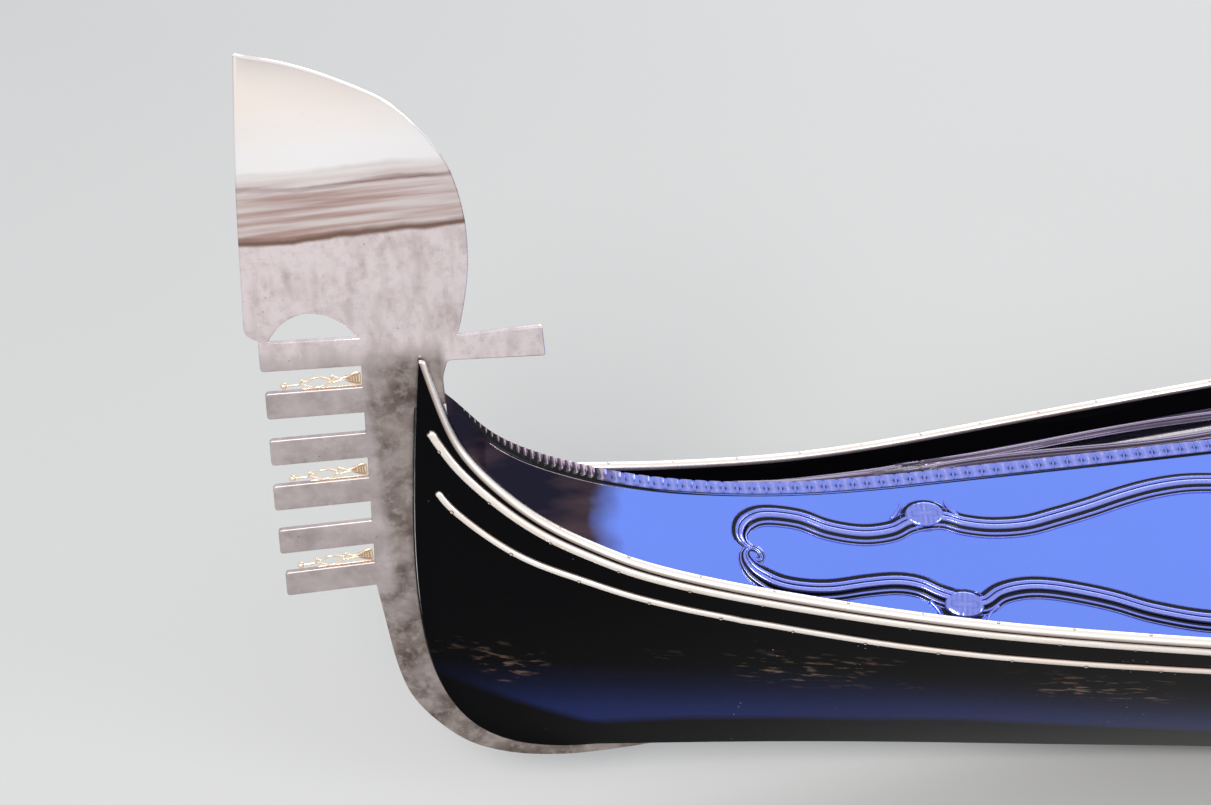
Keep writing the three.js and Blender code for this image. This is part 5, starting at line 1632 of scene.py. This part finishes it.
def back_outline(grow=0):
    """The seat back's outline: across and up, rounded."""
    y0, y1, top = SEAT["y0"], SEAT["y1"], SEAT["top"]
    corners = [(y0 - grow, top - 20, 0), (y1 + grow, top - 20, 0), (y1 + 20 + grow, top + 330, 60),
               (y1 - 120, top + 400 + grow, 80), ((y0 + y1) / 2, top + 540 + grow, 120),
               (y0 + 120, top + 400 + grow, 80), (y0 - 20 - grow, top + 330, 60)]
    return np.array(rounded(corners), float)


def build_seat(sizes):
    softened("seat_base", "seat_box", black_wood(), 4)
    softened("seat_back", "seat_back_board", black_wood(), 4)
    trim = Solid()
    line = back_outline(-16)[1:-1]
    run = through([p for i, p in enumerate(line) if i % 2 == 0], 9)
    x = SEAT["x0"] - SEAT["back"] - GAP
    for face, way in ((x, -1), (x + SEAT["back"], 1)):
        path = np.stack([np.full(len(run), face + way * 1.5), run[:, 0], run[:, 1]], -1)
        keep = path[:, 2] > SEAT["top"] + (20 if way < 0 else 40)
        path = path[keep]
        trim.add(tube(path, 5.5, (1, 0, 0), 8), groove=0.15)
        for i in range(2, len(path) - 2, 2):
            bead = [(0.3, -3.6), (4, -2.4), (5, 0), (4, 2.4), (0.3, 3.6)]
            trim.add(lathe(bead, path[i] + (way * 3.4, 0, 0), (1, 0, 0), 8))
    crest = np.array([x - 1.0, (SEAT["y0"] + SEAT["y1"]) / 2, SEAT["top"] + 455.0])
    for turn in np.linspace(-1.9, 1.9, 9):
        ray = np.array([0, math.sin(turn), math.cos(turn)])
        petal = np.stack([crest + ray * step - (step * 0.04, 0, 0) for step in (6, 20, 34, 44)])
        trim.add(tube(petal, np.array([4, 6, 5, 2.5]), (1, 0, 0), 8), groove=0.2)
    trim.add(lathe([(13, 0), (13, 3), (9, 6.5), (4, 8), (0.3, 8.4)], crest, (-1, 0, 0), 20))
    front, levels = SEAT["x1"] + 1.0, (40.0, 200.0)
    ends = (SEAT["y0"] + 60.0, SEAT["y1"] - 60.0)
    for z in levels:
        rail = [(front, y, z) for y in ends]
        trim.add(tube(through(rail, 20), 4.5, (0, 0, 1), 8), groove=0.2)
    for y in ends:
        post = [(front, y, z) for z in levels]
        trim.add(tube(through(post, 20), 4.5, (0, 1, 0), 8), groove=0.2)
    stand_for(trim.make("seat_trim", gilt(), sharp=50), "hull", gilt())


def build_stools(sizes):
    half, top, board = STOOL["half"], STOOL["top"], STOOL["board"]
    foot = FLOOR_Z + 0.4
    leg = [(9, 0), (11, 3), (11, 14), (7, 20), (12, 44), (15, 78), (10, 104), (8, 112), (13, 118), (8, 124),
           (12, 140), (15, 158), (15, top - board - foot)]
    for word, x, y in STOOLS:
        made = Solid().add(block(x - half, x + half, y - half, y + half, top - board, top))
        apron = half - 22
        levels = (top - 58, top - board)
        for way in (-1, 1):
            near, far = way * apron - 6, way * apron + 6
            made.add(block(x - apron, x + apron, y + near, y + far, *levels))
            made.add(block(x + near, x + far, y - apron, y + apron, *levels))
        frame_part = rounded_edges(made.make(f"{word}_stool_frame", black_wood()), 3)
        stand_for(frame_part, "hull", black_wood(), f"{word}_stool")
        legs = Solid()
        for i in (-1, 1):
            for j in (-1, 1):
                legs.add(lathe(leg, np.array([x + i * (half - 24.0), y + j * (half - 24.0), foot])))
        stand_for(legs.make(f"{word}_stool_legs", black_wood()), "hull", black_wood())


# Cushions

# Each cushion: the axis across it, its mesh's fineness, how far the cloth may move it, how far its
# first form is drawn in, and its rows of buttons
CUSHIONS = (
    {"name": "seat_cushion", "flat": 2, "voxel": 7, "travel": 14, "inset": 12, "buttons": (3, 4)},
    {"name": "back_cushion", "flat": 0, "voxel": 7, "travel": 14, "inset": 12, "buttons": (4, 3)},
    {"name": "port_stool_cushion", "flat": 2, "voxel": 5, "travel": 7, "inset": 6, "buttons": (1, 1)},
    {"name": "starboard_stool_cushion", "flat": 2, "voxel": 5, "travel": 7, "inset": 6, "buttons": (1, 1)},
)


def pillow(low, high, flat, inset):
    """A crowned closed form whose sides pull in between its corners."""
    size, centre = (high - low) / 2, (high + low) / 2
    axes = [axis for axis in range(3) if axis != flat]
    steps = np.linspace(-1, 1, 25)
    u, w = np.meshgrid(steps, steps, indexing="ij")
    bow = 1 - 0.035 * (1 - w ** 2), 1 - 0.035 * (1 - u ** 2)
    crown = 0.62 + 0.38 * (1 - np.abs(u) ** 3.5) * (1 - np.abs(w) ** 3.5)
    sheets = []
    for way in (1, -1):
        sheet = np.zeros((25, 25, 3))
        sheet[..., axes[0]] = centre[axes[0]] + u * bow[0] * (size[axes[0]] - inset)
        sheet[..., axes[1]] = centre[axes[1]] + w * bow[1] * (size[axes[1]] - inset)
        full = crown if way > 0 else np.ones(u.shape)
        sheet[..., flat] = centre[flat] + way * full * (size[flat] - (inset * 0.8 if way > 0 else 1.0))
        sheets.append(sheet)
    return thick(*sheets)


def inflate(thing, travel):
    """Swells a cushion as cloth under pressure, with a cap on how far each point moves."""
    start = points_of(thing.data)
    cloth = thing.modifiers.new("Cloth", "CLOTH")
    settings = cloth.settings
    settings.quality, settings.mass = 4, 0.3
    settings.tension_stiffness = settings.compression_stiffness = 12
    settings.use_pressure, settings.uniform_pressure_force = True, 4
    settings.effector_weights.gravity = 0
    cloth.collision_settings.use_collision = False
    scene = bpy.context.scene
    for number in range(1, 21):
        scene.frame_set(number)
    mesh = evaluated(thing)
    moved = points_of(mesh) - start
    far = np.linalg.norm(moved, axis=1, keepdims=True)
    start += moved * np.minimum(1, travel * MM / np.maximum(far, 1e-9))
    mesh.vertices.foreach_set("co", start.astype(np.float32).ravel())
    thing.modifiers.clear()
    thing.data = mesh
    scene.frame_set(1)


def build_cushions(sizes):
    for cushion in CUSHIONS:
        name, flat = cushion["name"], cushion["flat"]
        low, high = (np.array(corner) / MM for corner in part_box(name))
        shape = Solid().add(pillow(low, high, flat, cushion["inset"]))
        thing = shape.make(f"{name}_velvet", velvet())
        grain = thing.modifiers.new("Even", "REMESH")
        grain.mode, grain.voxel_size = "VOXEL", cushion["voxel"] * MM
        soft = thing.modifiers.new("Soft", "SMOOTH")
        soft.factor, soft.iterations = 0.6, 6
        settle(thing)
        inflate(thing, cushion["travel"])
        mesh = thing.data
        points = points_of(mesh) / MM
        axes = [axis for axis in range(3) if axis != flat]
        spots = button_places(low, high, axes, cushion["buttons"])
        for spot in spots:
            far = np.hypot(points[:, axes[0]] - spot[0], points[:, axes[1]] - spot[1])
            pull = np.exp(-(far / 34) ** 2) * 0.6 + np.exp(-(far / 12) ** 2) * 0.4
            above = np.clip((points[:, flat] - (low[flat] + high[flat]) / 2) / 10, 0, 1)
            points[:, flat] -= pull * above * (high[flat] - low[flat]) * 0.22
        points = np.clip(points, low + 0.3, high + 12)
        mesh.vertices.foreach_set("co", (points * MM).astype(np.float32).ravel())
        fine = thing.modifiers.new("Fine", "SUBSURF")
        fine.levels = fine.render_levels = 1
        settle(thing)
        paint(thing.data, velvet())
        thing.data.shade_smooth()
        stand_for(thing, "hull", velvet(), name)
        trim_cushion(thing, cushion, low, high, axes, spots)


def button_places(low, high, axes, counts):
    """Where a cushion's buttons sit, as pairs along its two long axes."""
    return [tuple(low[axis] + (high[axis] - low[axis]) * (k + 0.5) / count
                  for axis, k, count in zip(axes, pair, counts))
            for pair in np.ndindex(*counts)]


def trim_cushion(thing, cushion, low, high, axes, spots):
    """Piping round a cushion's crown and its buttons, laid on its final surface."""
    flat = cushion["flat"]
    tree = BVHTree.FromObject(thing, bpy.context.evaluated_depsgraph_get())
    middle = (low + high) / 2
    level = mix(low[flat], high[flat], 0.66)
    path = []
    for turn in np.linspace(0, 2 * np.pi, 180, endpoint=False):
        way = np.zeros(3)
        way[axes[0]], way[axes[1]] = math.cos(turn), math.sin(turn)
        start = middle.copy()
        start[flat] = level
        start += way * 900
        hit = tree.ray_cast(Vector(start * MM), Vector(-way))[0]
        if hit is not None:
            path.append(np.array(hit) / MM + way * 0.8)
    made = Solid()
    line = through(path, 9, loop=True)
    up = np.zeros(3)
    up[flat] = 1
    made.add(skin(sweep(line, up, circle(3.4), loop=True), loop=True), groove=0.1)
    for spot in spots:
        start = middle.copy()
        start[axes[0]], start[axes[1]] = spot
        start[flat] = high[flat] + 200
        hit = tree.ray_cast(Vector(start * MM), Vector(-up))[0]
        if hit is not None:
            button = [(10, -3), (11, 0), (9.5, 2.6), (5.5, 4.2), (0.3, 4.8)]
            made.add(lathe(button, np.array(hit) / MM, up, 18), groove=0.1)
    piping = made.make(f"{cushion['name']}_braid", gilt(), sharp=50)
    stand_for(piping, "hull", gilt())


# Stage

# The floor's opening: how far along the hull it may run, and how far inside the planks' outer faces
AFLOAT, INTO_PLANK = (2780, -2860), 9
FLOOR_REACH = 150000
LENS, SENSOR = 59.455, 36
CAMERA_PLACE = (5.1995, 2.847, 3.007)
CAMERA_AXES = (  # right, up, forward
    (-0.99031, 0.12880, -0.05190), (-0.11664, -0.56880, 0.81416), (-0.07534, -0.81233, -0.57831),
)

# Each light: where it stands, what it faces, its size, power and colour
LIGHTS = (
    ("key", (7.5, 6.0, 7.5), (3.0, 0, 0.4), 4.0, 560, (1, 0.97, 0.93)),
    ("side", (-6.0, 7.0, 6.0), (-2.0, 0, 0.3), 6.0, 340, (0.95, 0.97, 1)),
    ("back", (0.0, -9.0, 6.0), (0, 0, 0.3), 7.0, 320, (0.95, 0.97, 1)),
)


def waterline():
    """The hull's outline at the water, a little inside the planks' outer faces."""
    x = np.linspace(*AFLOAT, 120)
    x = x[chine_z(x) < -2]
    run = []
    for side in (PORT, STARBOARD):
        points = outer(side, x, depth_to_v(x, rim_z(x)))
        points[:, 1] -= side * INTO_PLANK
        points[:, 2] = 0
        run.append(points)
    return np.concatenate([run[0], run[1][::-1]])


def build_stage(sizes):
    inside = waterline()
    outside = unit(inside) * FLOOR_REACH
    count = len(inside)
    mesh = bpy.data.meshes.new("pale_floor")
    faces = [(i, (i + 1) % count, count + (i + 1) % count, count + i) for i in range(count)]
    mesh.from_pydata((np.concatenate([inside, outside]) * MM).tolist(), [], faces)
    if mesh.polygons[0].normal.z < 0:
        mesh.flip_normals()
    mesh.materials.append(floor_paint())
    floor = placed("pale_floor", mesh)

    for name, place, aim, size, power, colour in LIGHTS:
        data = bpy.data.lights.new(name, "AREA")
        data.shape, data.size, data.energy, data.color = "DISK", size, power, colour
        lamp = placed(name, data)
        lamp.location = place
        lamp.rotation_euler = (Vector(aim) - Vector(place)).to_track_quat("-Z", "Y").to_euler()

    world = bpy.data.worlds.new("Studio")
    bpy.context.scene.world = world
    world.use_nodes = True
    backdrop = world.node_tree.nodes["Background"]
    backdrop.inputs["Color"].default_value = (0.93, 0.96, 1.0, 1)
    backdrop.inputs["Strength"].default_value = look().sky
    bpy.context.scene.view_settings.view_transform = "Standard"

    data = bpy.data.cameras.new("camera")
    data.lens, data.sensor_width = LENS, SENSOR
    data.clip_start, data.clip_end = 0.05, 500
    camera = placed("camera", data)
    right, up, forward = (Vector(axis) for axis in CAMERA_AXES)
    turn = Matrix((right, up, -forward)).transposed().to_4x4()
    camera.matrix_world = Matrix.Translation(CAMERA_PLACE) @ turn
    bpy.context.scene.camera = camera


# Add-on

def colour_property(name, description, default):
    return bpy.props.FloatVectorProperty(name=name, description=description, default=default, size=3,
                                         min=0, max=1, subtype="COLOR")


def length_property(name, description, default):
    return bpy.props.FloatProperty(name=name, description=description, default=default, min=0.0001,
                                   subtype="DISTANCE", unit="LENGTH")


class GondolaSizes(bpy.types.PropertyGroup):
    """Sizes that a user would change."""

    station_step: length_property("Station step", "Distance between the hull's cross-sections", 0.03)
    nail_spacing: length_property("Nail spacing", "Distance between nails on the rubbing strips", 0.13)
    link_pitch: length_property("Link pitch", "Length of one carved link on the ridges", 0.027)
    band_width: length_property("Band width", "Width of the moulding on the foredeck", 0.044)
    iron_bevel: length_property("Iron bevel", "Rounding of the irons' edges", 0.003)
    board_width: length_property("Board width", "Width of a cockpit floor board", 0.09)


class GondolaLook(bpy.types.PropertyGroup):
    """Colours and light that a user would change."""

    hull_black: colour_property("Hull black", "Lacquer on the sides", (0.0015, 0.0015, 0.002))
    # The decks' blue is the sky's reflection, painted into the colour of decks and carving.
    deck_blue: colour_property("Deck blue", "Tint of the decks' mirror lacquer", (0.178, 0.3, 1.0))
    strip_white: colour_property("Strip white", "Metal of the rubbing strips", (0.93, 0.855, 0.79))
    brass: colour_property("Brass", "Ornaments and hinges", (0.97, 0.79, 0.6))
    velvet: colour_property("Velvet", "Cushion covers", (0.32, 0.012, 0.03))
    sky: bpy.props.FloatProperty(name="Sky", description="Brightness of the surroundings",
                                 default=0.95, min=0, max=5)


def operator(name, label, text, build):
    """An operator class that builds one piece or group of like pieces."""

    def execute(self, context):
        build(context.scene.gondola_sizes)
        return {"FINISHED"}

    return type(f"GONDOLA_OT_{name}", (bpy.types.Operator,), {
        "__doc__": text, "bl_idname": f"gondola.{name}", "bl_label": label, "execute": execute})


OPERATORS = [operator(*row) for row in (
    ("stage", "Stage", "Make the floor, lights and camera", build_stage),
    ("hull", "Hull", "Make the side planks, bottom and posts", build_hull),
    ("strips", "Rubbing Strips", "Make the capping, strips and their nails", build_strips),
    ("decks", "Decks", "Make the deck panels and their edge beads", build_decks),
    ("ridges", "Carved Ridges", "Make the ridges and their links", build_ridges),
    ("mouldings", "Deck Mouldings", "Make the scrolled bands on the foredeck", build_mouldings),
    ("bow_iron", "Bow Iron", "Make the bow iron", build_bow_iron),
    ("ornaments", "Tooth Ornaments", "Make the brass ornaments between the teeth", build_ornaments),
    ("stern_iron", "Stern Iron", "Make the stern iron", build_stern_iron),
    ("floor", "Cockpit Floor", "Make the floor boards, nails and timbers", build_floor),
    ("woodwork", "Woodwork", "Make the frames, thwarts, platform and rowlock block", build_woodwork),
    ("rowlock", "Rowlock", "Make the carved rowlock", build_rowlock),
    ("lockers", "Lockers", "Make the partitions, doors and hinges", build_lockers),
    ("seat", "Seat", "Make the main seat and its gilt trim", build_seat),
    ("stools", "Stools", "Make the two side stools", build_stools),
    ("cushions", "Cushions", "Make the velvet cushions by cloth simulation", build_cushions),
)]


class GONDOLA_PT_looks(bpy.types.Panel):
    """Lists the gondola's sizes, colours and operators"""

    bl_idname = "GONDOLA_PT_looks"
    bl_label = "Gondola"
    bl_space_type = "VIEW_3D"
    bl_region_type = "UI"
    bl_category = "Gondola"

    def draw(self, context):
        for group in (context.scene.gondola_sizes, context.scene.gondola_look):
            for name in group.__annotations__:
                self.layout.prop(group, name)
        for made in OPERATORS:
            self.layout.operator(made.bl_idname)


CLASSES = (GondolaSizes, GondolaLook, *OPERATORS, GONDOLA_PT_looks)


def register():
    for made in CLASSES:
        bpy.utils.register_class(made)
    bpy.types.Scene.gondola_sizes = bpy.props.PointerProperty(type=GondolaSizes)
    bpy.types.Scene.gondola_look = bpy.props.PointerProperty(type=GondolaLook)


def unregister():
    del bpy.types.Scene.gondola_look
    del bpy.types.Scene.gondola_sizes
    for made in reversed(CLASSES):
        bpy.utils.unregister_class(made)


def main():
    register()
    for made in OPERATORS:
        name = made.bl_idname.split(".")[1]
        getattr(bpy.ops.gondola, name)()


if __name__ == "__main__":
    main()
